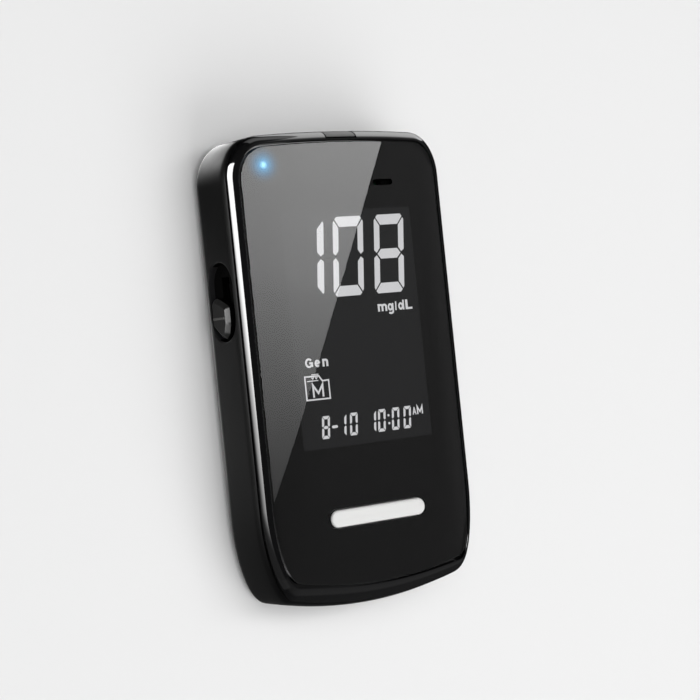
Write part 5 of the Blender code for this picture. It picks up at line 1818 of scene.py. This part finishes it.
LIT = {"0": set(Stroke) - {Stroke.MIDDLE}, "1": {Stroke.UPPER_RIGHT, Stroke.LOWER_RIGHT},
       "8": set(Stroke)}
SIGNS = (
    ("unit_sign", 0.21, (("m", (5.80, 10.85, 8.22, 12.97)), ("g", (8.42, 10.85, 9.95, 12.97)),
                         ("/", (10.36, 10.85, 10.78, 12.85)), ("d", (11.22, 10.85, 12.78, 12.97)),
                         ("L", (13.14, 10.85, 14.92, 12.97)))),
    ("mode_sign", 0.21, (("G", (-14.12, 0.40, -12.20, 2.45)), ("e", (-11.78, 0.40, -10.38, 2.50)),
                         ("n", (-9.82, 0.40, -8.38, 2.55)))),
    ("morning_sign", 0.17, (("A", (12.12, -12.00, 13.12, -10.25)),
                            ("M", (13.34, -12.00, 14.90, -10.25)))),
    ("memory_letter", 0.13, (("M", (-12.95, -5.85, -10.15, -3.10)),)),
)


@dataclass(frozen=True)
class DigitStyle:
    """Sizes of a segment digit before it is slanted."""

    width: float
    height: float
    upright: float
    level: float
    corner: float
    gap: float
    slant: float = 0.103

    def strokes(self) -> dict[Stroke, list[Spot]]:
        """Outline of every stroke, with its lower left corner at the origin.

        Returns:
            The outlines.
        """
        w, h, v, t, c = self.width, self.height, self.upright, self.level, self.corner
        middle, half = h / 2, t * 0.48
        tip = v * 0.48
        bottom = [(c * 0.38, c * 0.68), (c, 0.0), (w - c, 0.0), (w - c * 0.38, c * 0.68),
                  (w - v, t), (v, t)]
        bar = [(tip, middle), (v * 1.08, middle - half), (w - v * 1.08, middle - half),
               (w - tip, middle), (w - v * 1.08, middle + half), (v * 1.08, middle + half)]
        lower = [(0.0, c * 1.35), (c * 0.38, c * 0.68), (v, t), (v, middle - half),
                 (tip, middle - 0.05 * half), (0.0, middle - 0.62 * half)]
        shapes = {Stroke.BOTTOM: bottom, Stroke.MIDDLE: bar, Stroke.LOWER_LEFT: lower}
        shapes[Stroke.TOP] = [(x, h - y) for x, y in bottom[::-1]]
        shapes[Stroke.UPPER_LEFT] = [(x, h - y) for x, y in lower[::-1]]
        for left, right in ((Stroke.LOWER_LEFT, Stroke.LOWER_RIGHT),
                            (Stroke.UPPER_LEFT, Stroke.UPPER_RIGHT)):
            shapes[right] = [(w - x, y) for x, y in shapes[left][::-1]]
        return shapes

    def digit(self, mark: str, corner: Spot) -> list[list[Spot]]:
        """Lit strokes of one digit.

        Args:
            mark: the digit.
            corner: place of its lower left corner.

        Returns:
            Outlines of the strokes.
        """
        return [[(corner[0] + x + y * self.slant, corner[1] + y)
                 for x, y in shrunk(outline, self.gap / 2)]
                for stroke, outline in self.strokes().items() if stroke in LIT[mark]]


@dataclass
class Display:
    """Dark display behind the lens, with its lit digits and signs."""

    shop: Shop
    glass_low: Point = mm(-18.5, -19.0, 15.2)
    glass_high: Point = mm(18.5, 36.1, 16.4)
    lit_z: float = 16.405 * MM
    lit_thickness: float = 0.03 * MM
    shift: Spot = mm(0.22, 0.40)
    large: DigitStyle = DigitStyle(*mm(8.1, 17.2, 1.72, 2.50, 1.0, 0.30))
    single: DigitStyle = DigitStyle(*mm(8.1, 17.2, 1.98, 2.50, 1.0, 0.30))
    small: DigitStyle = DigitStyle(*mm(2.1, 4.9, 0.66, 0.80, 0.28, 0.14))
    reading_y: float = 14.6 * MM
    date_y: float = -14.8 * MM

    def build(self) -> None:
        """Make the glass and everything that it shows."""
        low, high = self.glass_low, self.glass_high
        levels = []
        for grow, z in ((0.1, low[2]), (0.0, low[2] + 0.1 * MM), (0.0, high[2] - 0.28 * MM),
                        (0.35, high[2] - 0.28 * MM), (0.35, high[2] - 0.05 * MM), (0.4, high[2])):
            levels.append((rounded_plate((low[0] + grow * MM, low[1] + grow * MM),
                                         (high[0] - grow * MM, high[1] - grow * MM),
                                         0.6 * MM, 4), z))
        glass = new_object("segment_display", layered(levels))
        smooth(glass)
        self.shop.fit(glass, Body.METER, "display_glass", finish="dark_window")
        self.shop.keep("inner_white", "display_frame")
        self.shop.keep("guide_sheet", "backlight_guide")
        self.shop.keep("contact_rubber", "display_contact_strip_lower", "display_contact_strip_upper")
        self.light("reading_digits", [
            *self.single.digit("1", (-15.60 * MM, self.reading_y)),
            *self.large.digit("0", (-5.42 * MM, self.reading_y)),
            *self.large.digit("8", (5.27 * MM, self.reading_y))])
        self.date_row()
        self.memory_sign()
        for name, weight, letters in SIGNS:
            self.sign(name, Letters(weight), letters)

    def lifted(self, outline: Sequence[Spot], rise: float = 0.0) -> list[Point]:
        """Points of an outline on the glass, or above it."""
        return [(x + self.shift[0], y + self.shift[1], self.lit_z + rise) for x, y in outline]

    def sign(self, name: str, style: Letters, letters: Iterable[tuple[str, Sequence[float]]]) -> None:
        """Join the strokes of some letters into one lit piece.

        Args:
            name: name of the piece.
            style: how the letters are drawn.
            letters: each letter with its box.
        """
        solids = [tower([self.lifted(outline), self.lifted(outline, self.lit_thickness)])
                  for letter, box in letters for outline in style.letter(letter, box)]
        item = new_object(name, solids[0])
        carve(item, solids[1:], "UNION")
        self.shop.fit(item, Body.METER, finish="lit_segment", slot="display_glass")

    def light(self, name: str, outlines: Iterable[Sequence[Spot]]) -> None:
        """Raise flat outlines into one lit piece on the glass.

        Args:
            name: name of the piece.
            outlines: the outlines.
        """
        draft = Draft()
        for outline in outlines:
            draft.cap(draft.ring(self.lifted(outline)))
        self.finish(name, draft)

    def finish(self, name: str, draft: Draft) -> None:
        """Raise a flat draft and fit it.

        Args:
            name: name of the piece.
            draft: flat faces at the height of the glass.
        """
        if sum(self.area([draft.points[k] for k in face]) for face in draft.faces) < 0:
            draft.faces = [face[::-1] for face in draft.faces]
        item = self.shop.trees.raised.grow(name, draft, self.shop.palette["lit_segment"],
                                           Thickness=self.lit_thickness)
        self.shop.fit(item, Body.METER, slot="display_glass")

    def area(self, points: Sequence[Point]) -> float:
        """Area of an outline, positive where it runs anticlockwise."""
        pairs = zip(points, [*points[1:], points[0]])
        return sum(a[0] * b[1] - b[0] * a[1] for a, b in pairs) / 2

    def date_row(self) -> None:
        """Light the day and the time in small digits, with the dash and the colon."""
        half = (self.small.width + self.small.slant * self.small.height) / 2
        shapes = []
        for mark, x in (("8", -10.55), ("1", -6.35), ("0", -3.45), ("1", 1.35), ("0", 3.85),
                        ("0", 7.50), ("0", 10.60)):
            shapes += self.small.digit(mark, (x * MM - half, self.date_y))
        shapes.append(scaled(((-9.1, -12.42), (-8.85, -12.72), (-7.75, -12.72), (-7.5, -12.42),
                              (-7.75, -12.12), (-8.85, -12.12))))
        for y in (-11.45, -13.15):
            shapes.append(circle((5.72 * MM, y * MM), 0.27 * MM, 12))
        self.light("date_digits", shapes)

    def memory_sign(self) -> None:
        """Light the outline of a folder with a raised tab, ruled lines and two ticks."""
        folder = ((-14.72, -6.44), (-8.56, -6.50), (-8.56, -2.30), (-10.20, -2.36),
                  (-11.00, -1.26), (-14.72, -1.24))
        inner = ((-14.40, -6.12), (-8.88, -6.18), (-8.88, -2.62), (-10.36, -2.68),
                 (-11.16, -1.58), (-14.40, -1.56))
        draft = Draft()
        draft.bridge(*[draft.ring(self.lifted(scaled(line))) for line in (folder, inner)])
        style = Letters(0.20 * MM)
        for line in (((-12.9, -1.06), (-11.1, -1.06)), ((-14.1, -2.36), (-11.3, -2.36)),
                     ((-12.9, -1.62), (-12.62, -1.98), (-12.34, -1.62)),
                     ((-12.02, -1.62), (-11.74, -1.98), (-11.46, -1.62))):
            draft.cap(draft.ring(self.lifted(style.stroke(scaled(line)))))
        self.finish("memory_sign", draft)


# Moving and inner pieces

@dataclass
class Ejector:
    """Thumb knob on the left side, with the carriage and the spring behind it."""

    shop: Shop
    low_y: float = 8.5 * MM
    high_y: float = 17.3 * MM
    half: float = 3.3 * MM
    corners: tuple[Spot, ...] = ((16.1, -3.3), (17.0, -2.5), (17.3, -1.4), (16.2, 1.4), (15.2, 3.3),
                                 (11.6, 3.3), (9.3, 2.4), (8.5, 1.2), (8.9, -0.4), (11.2, -3.3))
    rounding: float = 0.35 * MM
    spring_place: Point = mm(-21.8, 20.475, 5.99)
    spring_end_y: float = 32.6 * MM
    squeezed: float = 0.48

    def outline(self, inset: float) -> list[Spot]:
        """Outline of the knob in its pocket, drawn in by inset."""
        corners = [(y * MM, self.shop.plan.knob_z + z * MM) for y, z in self.corners]
        return softened(shrunk(corners[::-1], -inset), self.rounding)

    def ridge(self) -> Draft:
        """Grip ridge across the knob, rounded towards its top.

        Returns:
            The closed shape.
        """
        middle, centre, levels = (self.low_y + self.high_y) / 2, self.shop.plan.knob_z, []
        for half, x in ((0.26, -27.5), (0.26, -27.92), (0.20, -28.02), (0.12, -28.08), (0.04, -28.1)):
            reach = self.half - 0.95 * MM - (0.26 - half) * MM
            levels.append((rounded_plate((middle - half * MM, centre - reach),
                                         (middle + half * MM, centre + reach),
                                         half * MM * 0.9, 4), x * MM))
        return layered(levels, Along.X)

    def build(self) -> None:
        """Make the knob and the spring, and dress the carriage."""
        palette, centre = self.shop.palette, self.shop.plan.knob_z
        knob = new_object("ejector_thumb_knob", stepped(self.outline, (
            (0, -25.7), (0, -27.0), (0.04, -27.10), (0.80, -27.80), (0.92, -27.87),
            (1.05, -27.9)), Along.X))
        stem = block((-26.3 * MM, 11.1 * MM, centre - 1.2 * MM),
                     (-23.8 * MM, 14.7 * MM, centre + 1.2 * MM))
        carve(knob, [self.ridge(), stem], "UNION")
        smooth(knob, 30)
        paint(knob, palette["knob_black"])
        # the top of the grip ridge is painted light grey as a painted highlight
        repaint(knob, palette["ridge_grey"], lambda face: face.center.x < -27.905 * MM)
        # the knob's skirt deep in the pocket is painted near-black as painted shade
        repaint(knob, palette["pocket_black"], lambda face: face.center.x > -27.05 * MM)
        self.shop.fit(knob, Body.EJECTOR, "ejector_knob")
        self.shop.keep("chip_epoxy", "ejector_carriage")

        x, _, z = self.spring_place
        place = Matrix.Translation(self.spring_place) @ Matrix.Rotation(-math.pi / 2, 4, "X")
        spring = self.shop.spring("ejector_spring", "ejector_return_spring", "spring_steel", place,
                                  Turns=9.0, Length=11.75 * MM, Wire_Radius=0.175 * MM)
        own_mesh(spring)


@dataclass
class CellBay:
    """Two cells, their contacts, the cell door and the small set key beside them."""

    shop: Shop
    cell_x: float = 5.5 * MM
    cell_z: float = 6.95 * MM
    length: float = 44.5 * MM
    nub: float = 0.8 * MM
    left_low_y: float = -39.3 * MM
    right_low_y: float = -41.9 * MM
    band: Spot = (0.74, 0.741)
    grip_y: float = 12.3 * MM
    grip_pitch: float = 1.2 * MM

    def cell(self, name: str, node: str, x: float, low_y: float, nub_up: bool) -> None:
        """Make one cell.

        Args:
            name: name of the piece.
            node: the CAD node that it replaces.
            x: place of its axis.
            low_y: where its lower end lies.
            nub_up: whether its nub points towards the strip port.
        """
        can = self.length - self.nub
        top = can / MM
        profile = [(0.0, 0.12), (3.9, 0.12), (4.3, 0.0), (4.75, 0.0), (5.05, 0.12), (5.2, 0.4),
                   (5.25, 0.8), (5.25, top - 0.9), (5.2, top - 0.45), (5.02, top - 0.15),
                   (4.7, top - 0.02), (4.2, top), (3.9, top - 0.25), (2.5, top - 0.25),
                   (2.2, top - 0.05), (1.95, top + 0.2), (1.9, top + 0.62), (1.75, top + 0.76),
                   (1.5, top + 0.8), (0.0, top + 0.8)]
        side = 1 if nub_up else -1
        base = low_y if nub_up else low_y + self.length
        placed = [(radius * MM, base + side * level * MM) for radius, level in profile]
        cell = new_object(name, turned(placed, (x, self.cell_z), 56, Along.Y))
        smooth(cell, 35)
        start, end = (base + side * can * share for share in self.band)
        wrap = CellWrap(name + "_wrap", (x, self.cell_z), start, end)
        self.shop.fit(cell, Body.METER, node, finish=self.shop.palette.add(wrap))

    def door(self) -> None:
        """Make the door with its hooks, latch and ribbed thumb grip."""
        plan = self.shop.plan
        plate = drawn_plate(plan.door_low, plan.door_high, plan.door_corner)
        door = new_object("cell_bay_door", stepped(plate, (
            (0.28, 0), (0.12, 0.05), (0.03, 0.14), (0, 0.28), (0, 1.4))))
        latch = block(mm(-3, 14.2, 0.7), (3 * MM, plan.door_high[1], 3.8 * MM))
        hooks = [block((x - 2 * MM, *mm(-44.9, 0.8)), (x + 2 * MM, *mm(-43.3, 1.4)))
                 for x in (-plan.hook_x, plan.hook_x)]
        carve(door, [latch, *hooks], "UNION")
        groove = layered([(stadium((0.0, self.grip_y), half, radius, 8), z) for half, radius, z
                          in scaled(((4.5, 0.36, -1), (4.5, 0.36, 0), (4.4, 0.26, 0.16),
                                     (4.25, 0.12, 0.3)))])
        carve(door, [self.shop.trees.row.grow("grip_tool", groove, None, Count=5,
                                              Step=(0.0, -self.grip_pitch, 0.0))])
        smooth(door)
        self.shop.fit(door, Body.DOOR, "cell_door", finish="satin_shell")

    def springs(self) -> None:
        """Make the two conical contact springs and dress the plates."""
        for side, x, base, turn in (("left", -self.cell_x, -42.25 * MM, -math.pi / 2),
                                    ("right", self.cell_x, 5.55 * MM, math.pi / 2)):
            place = Matrix.Translation((x, base, self.cell_z)) @ Matrix.Rotation(turn, 4, "X")
            self.shop.spring("cell_spring_" + side, "contact_spring_" + side, "spring_steel",
                             place, Turns=3.4, Dead_Turns=0.5, First_Radius=2.8 * MM,
                             Last_Radius=1.6 * MM, Length=2.6 * MM, Wire_Radius=0.25 * MM)
        self.shop.keep("spring_steel", "spring_contact_plate_left", "spring_contact_plate_right")
        self.shop.keep("gold_plate", "flat_contact_left", "flat_contact_right")

    def set_key(self) -> None:
        """Make the small round key with a dished face."""
        profile = scaled(((0.0, 3.92), (0.9, 3.9), (1.35, 3.84), (1.62, 3.8), (1.82, 3.86),
                          (1.9, 4.02), (1.9, 5.7), (2.6, 5.7), (2.7, 5.8), (2.7, 6.2), (2.6, 6.3),
                          (0.95, 6.3), (0.95, 11.5), (0.0, 11.5)))
        key = new_object("set_button", turned(profile, self.shop.plan.set_key))
        smooth(key, 40)
        self.shop.fit(key, Body.SET_KEY, "set_key", finish="key_ivory")

    def build(self) -> None:
        """Make everything in the bay."""
        self.cell("cell_one", "cell_left", -self.cell_x, self.left_low_y, True)
        self.cell("cell_two", "cell_right", self.cell_x, self.right_low_y, False)
        self.springs()
        self.set_key()
        self.door()


@dataclass
class Electronics:
    """Main board with what is soldered to it, the lamp and the speaker."""

    shop: Shop
    contact_x: float = 3.2 * MM
    contact_y: float = 3 * MM
    contact_z: float = 6.05 * MM

    def build(self) -> None:
        """Dress the board's parts and make the speaker with its springs."""
        for finish, *nodes in (("board_resist", "main_board"),
                               ("chip_epoxy", "processor_chip", "voice_chip", "memory_chip",
                                "main_key_switch", "set_switch"),
                               ("spring_steel", "clock_crystal"),
                               ("screw_zinc", "power_capacitor"),
                               ("lamp_moulding", "status_lamp"),
                               ("clear_pipe", "lamp_light_pipe"),
                               ("gasket_foam", "speaker_gasket")):
            self.shop.keep(finish, *nodes)
        profile = scaled(((0.0, 3.1), (1.6, 3.15), (2.3, 3.28), (2.7, 3.34), (4.9, 2.72), (5.6, 2.56),
                          (6.2, 2.72), (6.8, 2.56), (7.4, 2.54), (7.6, 2.5), (8.4, 2.5), (8.5, 2.6),
                          (8.5, 3.4), (8.4, 3.5), (7.6, 3.5), (6.9, 5.6), (6.6, 5.7), (0.0, 5.7)))
        x, y = self.shop.plan.speaker
        speaker = new_object("voice_speaker", turned(profile, (x, y), 64))
        smooth(speaker, 30)
        self.shop.fit(speaker, Body.METER, "speaker", finish="speaker_can")
        for side, shift in (("left", -self.contact_x), ("right", self.contact_x)):
            place = Matrix.Translation((x + shift, y + self.contact_y, self.contact_z))
            self.shop.spring("speaker_spring_" + side, "speaker_contact_spring_" + side,
                             "gold_plate", place, Turns=5.0, First_Radius=1.1 * MM,
                             Last_Radius=1.1 * MM, Length=7.0 * MM, Wire_Radius=0.15 * MM)


@dataclass
class Screws:
    """Four cross-recessed case screws."""

    shop: Shop
    threads: int = 8
    first_thread: float = 3.5
    thread_pitch: float = 0.6
    seed: int = 7

    def sample(self) -> Draft:
        """One screw on the axis, with its cross recess.

        Returns:
            The shape.
        """
        profile = [(0.0, 1.9), (0.9, 1.9), (1.35, 1.96), (1.62, 2.14), (1.78, 2.45), (1.8, 2.8),
                   (1.8, 3.2), (0.8, 3.2)]
        for level in (self.first_thread + self.thread_pitch * i for i in range(self.threads)):
            profile += [(0.8, level), (0.66, level + 0.22), (0.66, level + 0.34)]
        profile += [(0.8, 8.6), (0.27, 9.4), (0.0, 9.4)]
        sample = new_object("screw_sample", turned(scaled(profile), (0.0, 0.0), 32))
        carve(sample, [layered([(rounded_plate((-a * s * MM, -b * s * MM), (a * s * MM, b * s * MM),
                                               0.12 * MM * s, 2), z * MM)
                                for s, z in ((1.15, 1.5), (1.1, 1.88), (0.8, 2.5), (0.5, 2.75))])
                       for a, b in ((1.0, 0.24), (0.24, 1.0))])
        smooth(sample, 35, weighted=False)
        shape = Draft([tuple(vertex.co) for vertex in sample.data.vertices],
                      [tuple(face.vertices) for face in sample.data.polygons])
        bpy.data.objects.remove(sample, do_unlink=True)
        return shape

    def build(self) -> None:
        """Set a screw at each of the four corners."""
        plan = self.shop.plan
        middle = (plan.screw_top_y + plan.screw_bottom_y) / 2
        screws = self.shop.trees.corners.grow(
            "case_screws", self.sample(), self.shop.palette["screw_zinc"], Width=2 * plan.screw_x,
            Length=plan.screw_top_y - plan.screw_bottom_y, Middle=(0.0, middle, 0.0),
            Seed=self.seed)
        smooth(screws, 35)
        self.shop.fit(screws, Body.METER, "case_screw_top_left", "case_screw_top_right",
                      "case_screw_bottom_left", "case_screw_bottom_right")


# Studio

def hide(item: Item, *rays: str) -> None:
    """Keep an object from the named kinds of rays."""
    for ray in rays:
        setattr(item, "visible_" + ray, False)


def stand(item: Item, place: Point, *axes: Sequence[float]) -> None:
    """Link an object to the scene at a place, with its own axes along three directions."""
    item.matrix_world = Matrix.Translation(place) @ Matrix(axes).transposed().to_4x4()
    bpy.context.scene.collection.objects.link(item)


@dataclass(frozen=True)
class Card:
    """Light card that only some pieces mirror, with its sizes in millimetres."""

    name: str
    low: Point
    high: Point
    along: Point
    levels: tuple[Spot, ...]
    receivers: tuple[str, ...]

    def corners(self) -> list[Point]:
        """Corners of the card, which is flat along the axis that low and high share.

        Returns:
            The four corners.
        """
        first, second = [axis for axis in range(3) if self.low[axis] != self.high[axis]]
        points = []
        for one, other in ((self.low, self.low), (self.high, self.low), (self.high, self.high),
                           (self.low, self.high)):
            point = list(self.low)
            point[first], point[second] = one[first], other[second]
            points.append(tuple(value * MM for value in point))
        return points


@dataclass(frozen=True)
class Patch:
    """Soft light part of the surroundings."""

    direction: Point
    start: float
    end: float
    amount: float


GLOSSY = ("front_shell", "face_lens", "strip_port_surround")
SATIN = ("rear_shell", "ejector_thumb_knob", "cell_bay_door")
CARDS = (
    Card("side_panel", (-227, -300, -150), (-227, 180, 158), (0, 1, 0.30),
         ((-345, 0.20), (-80, 0.20), (-54, 0.4), (-36, 1.3), (-20, 4.0), (-5, 7.2), (10, 9.5),
          (25, 14.0), (41, 22.0), (57, 26.0), (80, 27.0), (230, 27.0)), GLOSSY[::2]),
    Card("top_card", (108, 250, -350), (500, 250, 420), (0, 0, 1),
         ((-350, 0.3), (-240, 0.9), (-100, 2.2), (17, 4.4), (105, 5.5), (165, 3.0), (230, 0.6),
          (420, 0.0)), GLOSSY[::2]),
    Card("top_left_card", (-50, 250, -60), (108, 250, 130), (0, 0, 1),
         ((-60, 0.3), (17, 1.2), (80, 1.6), (130, 0.6)), GLOSSY[::2]),
    Card("foot_card", (-300, -250, -350), (500, -250, 420), (0, 0, 1),
         ((-350, 0.01), (-240, 0.02), (-100, 0.035), (17, 0.07), (130, 0.11), (420, 0.18)), GLOSSY),
    Card("lip_card", (-120, -80, -10), (-120, 60, 70), (0, 1, 0),
         ((-80, 0.0), (-45, 1.5), (-20, 5.5), (0, 9.0), (40, 12.0), (60, 12.0)), SATIN[:2]),
    Card("under_card", (-500, -80, -12), (500, 70, -12), (0, 1, 0),
         ((-80, 0.08), (-55, 0.14), (-36, 0.18), (-17, 0.42), (0, 0.26), (28, 0.10), (45, 0.07),
          (70, 0.07)), SATIN),
    Card("rim_card", (-33, -62, -11.5), (0, 46, -11.5), (0, 1, 0),
         ((-62, 0.0), (-46, 0.05), (-34, 0.25), (-20, 0.6), (0, 0.9), (14, 1.2), (28, 0.4),
          (46, 0.1)), SATIN[:1]),
    Card("corner_card", (-35, 44, -11), (-12, 62, -11), (0, 1, 0),
         ((44, 0.1), (48, 1.6), (53, 5.5), (58, 5.0), (62, 2.5)), SATIN[:1]),
)
PATCHES = (
    Patch((0.50, 0.15, 0.85), 0.70, 0.92, 0.11), Patch((0.45, 0.50, 0.74), 0.79, 0.90, 0.06),
    Patch((1.00, 0.00, 0.05), 0.80, 0.98, 0.10), Patch((0.25, -0.95, 0.18), 0.40, 1.00, 0.12),
)


@dataclass
class Studio:
    """Pale floor, soft lights, reflected cards and the camera."""

    outline: BodyOutline
    camera_place: Point = (-0.23022, 0.00345, 0.34849)
    camera_right: Point = (0.81989, -0.10172, 0.56342)
    camera_up: Point = (0.08349, 0.99481, 0.05811)
    camera_back: Point = (-0.566406, -0.000604, 0.824126)
    lens: float = 97.7
    sensor: float = 36.0
    card_z: float = 0.75
    card_left: float = -0.02
    edge_start: Spot = mm(10.44, 47.69)
    edge_end: Spot = mm(-25.79, -28.07)
    card_levels: tuple[Spot, ...] = ((60.0, 6.2), (45.9, 5.6), (35.7, 4.95), (27.6, 4.55),
                                     (19.5, 4.05), (15.4, 3.6), (7.3, 2.8), (-0.8, 2.2),
                                     (-9.0, 1.55), (-17.1, 1.16), (-25.2, 0.74), (-38.0, 0.25))
    floor_colour: Colour = (0.80, 0.80, 0.80)
    floor_radius: float = 6.0
    lamp_size: float = 1.2
    soft_energy: float = 10.4
    fill_energy: float = 9.6
    dim: float = 0.045

    def camera(self) -> None:
        """Set the camera at the photo's angle."""
        data = bpy.data.cameras.new("camera")
        data.lens, data.sensor_width = self.lens, self.sensor
        item = bpy.data.objects.new("camera", data)
        stand(item, self.camera_place, self.camera_right, self.camera_up, self.camera_back)
        bpy.context.scene.camera = item

    def mirrored(self, x: float, y: float) -> Spot:
        """Where on the overhead card the camera sees itself sent by one place on the lens.

        Args:
            x: the place across the lens.
            y: the place along the lens.

        Returns:
            The place on the card.
        """
        place, normal = Vector((x, y, self.outline.crown_z(x))), self.outline.crown_normal(x)
        back = (Vector(self.camera_place) - place).normalized()
        away = 2 * normal.dot(back) * normal - back
        reach = (self.card_z - place.z) / away.z
        return (place.x + away.x * reach, place.y + away.y * reach)

    def ramped(self, name: str, along: Point, stops: Sequence[Spot]) -> Material:
        """Light material that lets rays through and whose strength changes over the card.

        Args:
            name: name of the material.
            along: vector whose product with the place gives the level.
            stops: (level, radiance) pairs in rising order.

        Returns:
            The material.
        """
        material = bpy.data.materials.new(name)
        material.use_nodes = True
        sketch = NodeSketch(material.node_tree)
        sketch.tree.nodes.clear()
        place = sketch.node("ShaderNodeTexCoord").outputs["Object"]
        low, high, peak = stops[0][0], stops[-1][0], max(value for _, value in stops)
        share = sketch.ranged(sketch.measure("DOT_PRODUCT", place, along), low, high, 0.0, 1.0)
        ramp = sketch.node("ShaderNodeValToRGB", share)
        ramp.color_ramp.interpolation = "B_SPLINE"
        points = ramp.color_ramp.elements
        while len(points) < len(stops):
            points.new(0.5)
        for point, (level, value) in zip(points, stops):
            point.position = (level - low) / (high - low)
            point.color = (value / peak,) * 3 + (1.0,)
        light = sketch.node("ShaderNodeEmission", ramp.outputs[0], peak)
        clear = sketch.node("ShaderNodeBsdfTransparent")
        both = sketch.node("ShaderNodeAddShader", light.outputs[0], clear.outputs[0])
        sketch.node("ShaderNodeOutputMaterial", both.outputs[0])
        return material

    def reflected(self, card: Card, made: dict[str, Item]) -> Item:
        """Put up a card that shows in the reflections of its receivers and nowhere else.

        Args:
            card: its place and light.
            made: the finished pieces by name.

        Returns:
            The card's object.
        """
        draft = Draft()
        draft.cap(draft.ring(card.corners()))
        item = new_object(card.name, draft)
        paint(item, self.ramped(card.name + "_light", card.along,
                                [(level * MM, radiance) for level, radiance in card.levels]))
        hide(item, "camera", "diffuse", "shadow", "transmission")
        group = bpy.data.collections.new(card.name + "_receivers")
        for name in card.receivers:
            group.objects.link(made[name])
        item.light_linking.receiver_collection = group
        return item

    def overhead_card(self) -> Item:
        """Put up the overhead light card, whose edge crosses the lens as a straight line.

        Returns:
            The card's object.
        """
        draft = Draft()
        edge = [self.mirrored(*self.on_edge(i / 40)) for i in range(-6, 52)]
        inner = draft.ring([(x, y, self.card_z) for x, y in edge])
        outer = draft.ring([(min(self.card_left, x), y, self.card_z) for x, y in edge])
        draft.faces += zip(inner, inner[1:], outer[1:], outer)
        card = new_object("overhead_card", draft)
        hide(card, "camera", "shadow", "transmission")
        start, end = self.edge_start[1], self.edge_end[1]
        stops = []
        for level, radiance in self.card_levels:
            spot = self.on_edge((level * MM - start) / (end - start))
            stops.append((self.mirrored(*spot)[1], radiance))
        paint(card, self.ramped("overhead_light", (0.0, 1.0, 0.0), sorted(stops)))
        return card

    def on_edge(self, share: float) -> Spot:
        """Place on the line that the card's edge draws across the lens."""
        (x0, y0), (x1, y1) = self.edge_start, self.edge_end
        return (x0 + (x1 - x0) * share, y0 + (y1 - y0) * share)

    def lamp(self, name: str, place: Point, energy: float) -> None:
        """Hang up a square lamp that looks at the meter and isn't seen itself.

        Args:
            name: name of the lamp.
            place: where it hangs.
            energy: its power.
        """
        data = bpy.data.lights.new(name, "AREA")
        data.shape = "RECTANGLE"
        data.size = data.size_y = self.lamp_size
        data.energy = energy
        item = bpy.data.objects.new(name, data)
        away = Vector(place).normalized()
        side = Vector((0.0, 1.0, 0.0)).cross(away).normalized()
        hide(item, "camera", "glossy", "transmission")
        stand(item, place, side, away.cross(side), away)

    def floor(self) -> Item:
        """Lay a wide pale floor that glossy pieces don't mirror.

        Returns:
            The floor.
        """
        floor = new_object("studio_floor", prism(circle((0.0, 0.0), self.floor_radius, 64), -0.01, 0.0))
        hide(floor, "glossy", "transmission")
        material = bpy.data.materials.new("floor_paper")
        material.use_nodes = True
        shader = material.node_tree.nodes["Principled BSDF"]
        for name, value in (("Base Color", (*self.floor_colour, 1.0)), ("Roughness", 0.9),
                            ("Specular IOR Level", 0.0)):
            shader.inputs[name].default_value = value
        paint(floor, material)
        return floor

    def world(self) -> None:
        """Dim surroundings, lightest where the lens looks and towards the far right horizon."""
        world = bpy.data.worlds.new("studio")
        world.use_nodes = True
        sketch = NodeSketch(world.node_tree)
        away = sketch.node("ShaderNodeTexCoord").outputs["Generated"]
        total = self.dim
        for patch in PATCHES:
            near = sketch.measure("DOT_PRODUCT", away, patch.direction)
            soft = sketch.node("ShaderNodeMapRange", near, patch.start, patch.end, 0.0, 1.0,
                               interpolation_type="SMOOTHSTEP")
            total = sketch.math("MULTIPLY_ADD", soft.outputs[0], patch.amount, total)
        height = sketch.node("ShaderNodeSeparateXYZ", away).outputs[2]
        above = sketch.ranged(height, -0.05, 0.12, 0.1, 1.0)
        sketch.feed(sketch.tree.nodes["Background"].inputs["Color"],
                    sketch.math("MULTIPLY", total, above))
        bpy.context.scene.world = world

    def build(self, made: dict[str, Item]) -> None:
        """Set the whole studio up.

        Args:
            made: the finished pieces by name, for the cards that only some of them mirror.
        """
        self.camera()
        self.world()
        self.lamp("soft_light", (-0.4, 0.1, 1.3), self.soft_energy)
        self.lamp("fill_light", (0.3, -0.9, 0.8), self.fill_energy)
        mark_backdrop(self.floor(), self.overhead_card(), *(self.reflected(card, made) for card in CARDS))
        bpy.context.scene.view_settings.view_transform = "Standard"


def note_size(key: str, sizes: dict[str, object]) -> None:
    """Add the current bounds to the size notes.

    Args:
        key: what the bounds are called.
        sizes: the notes so far.
    """
    sizes[key] = [list(corner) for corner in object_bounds()]


def main() -> None:
    """Build the dressed meter."""
    logging.basicConfig(level=logging.INFO, format="%(message)s")
    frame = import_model()
    sizes: dict[str, object] = {}
    note_size("cad", sizes)
    outline, plan = BodyOutline(), Plan()
    shop = Shop(outline, Palette((*plan.lamp, plan.lamp_z)), Trees(), frame["nodes"], plan)
    port = StripPort(shop)
    for assembly in (port, RearShell(shop, port), FrontShell(shop, port), Lens(shop), MainKey(shop),
                     Display(shop), Ejector(shop), CellBay(shop), Electronics(shop), Screws(shop)):
        LOG.info("building %s", type(assembly).__name__)
        assembly.build()
    Studio(outline).build(shop.made)
    note_size("dressed", sizes)


if __name__ == "__main__":
    main()
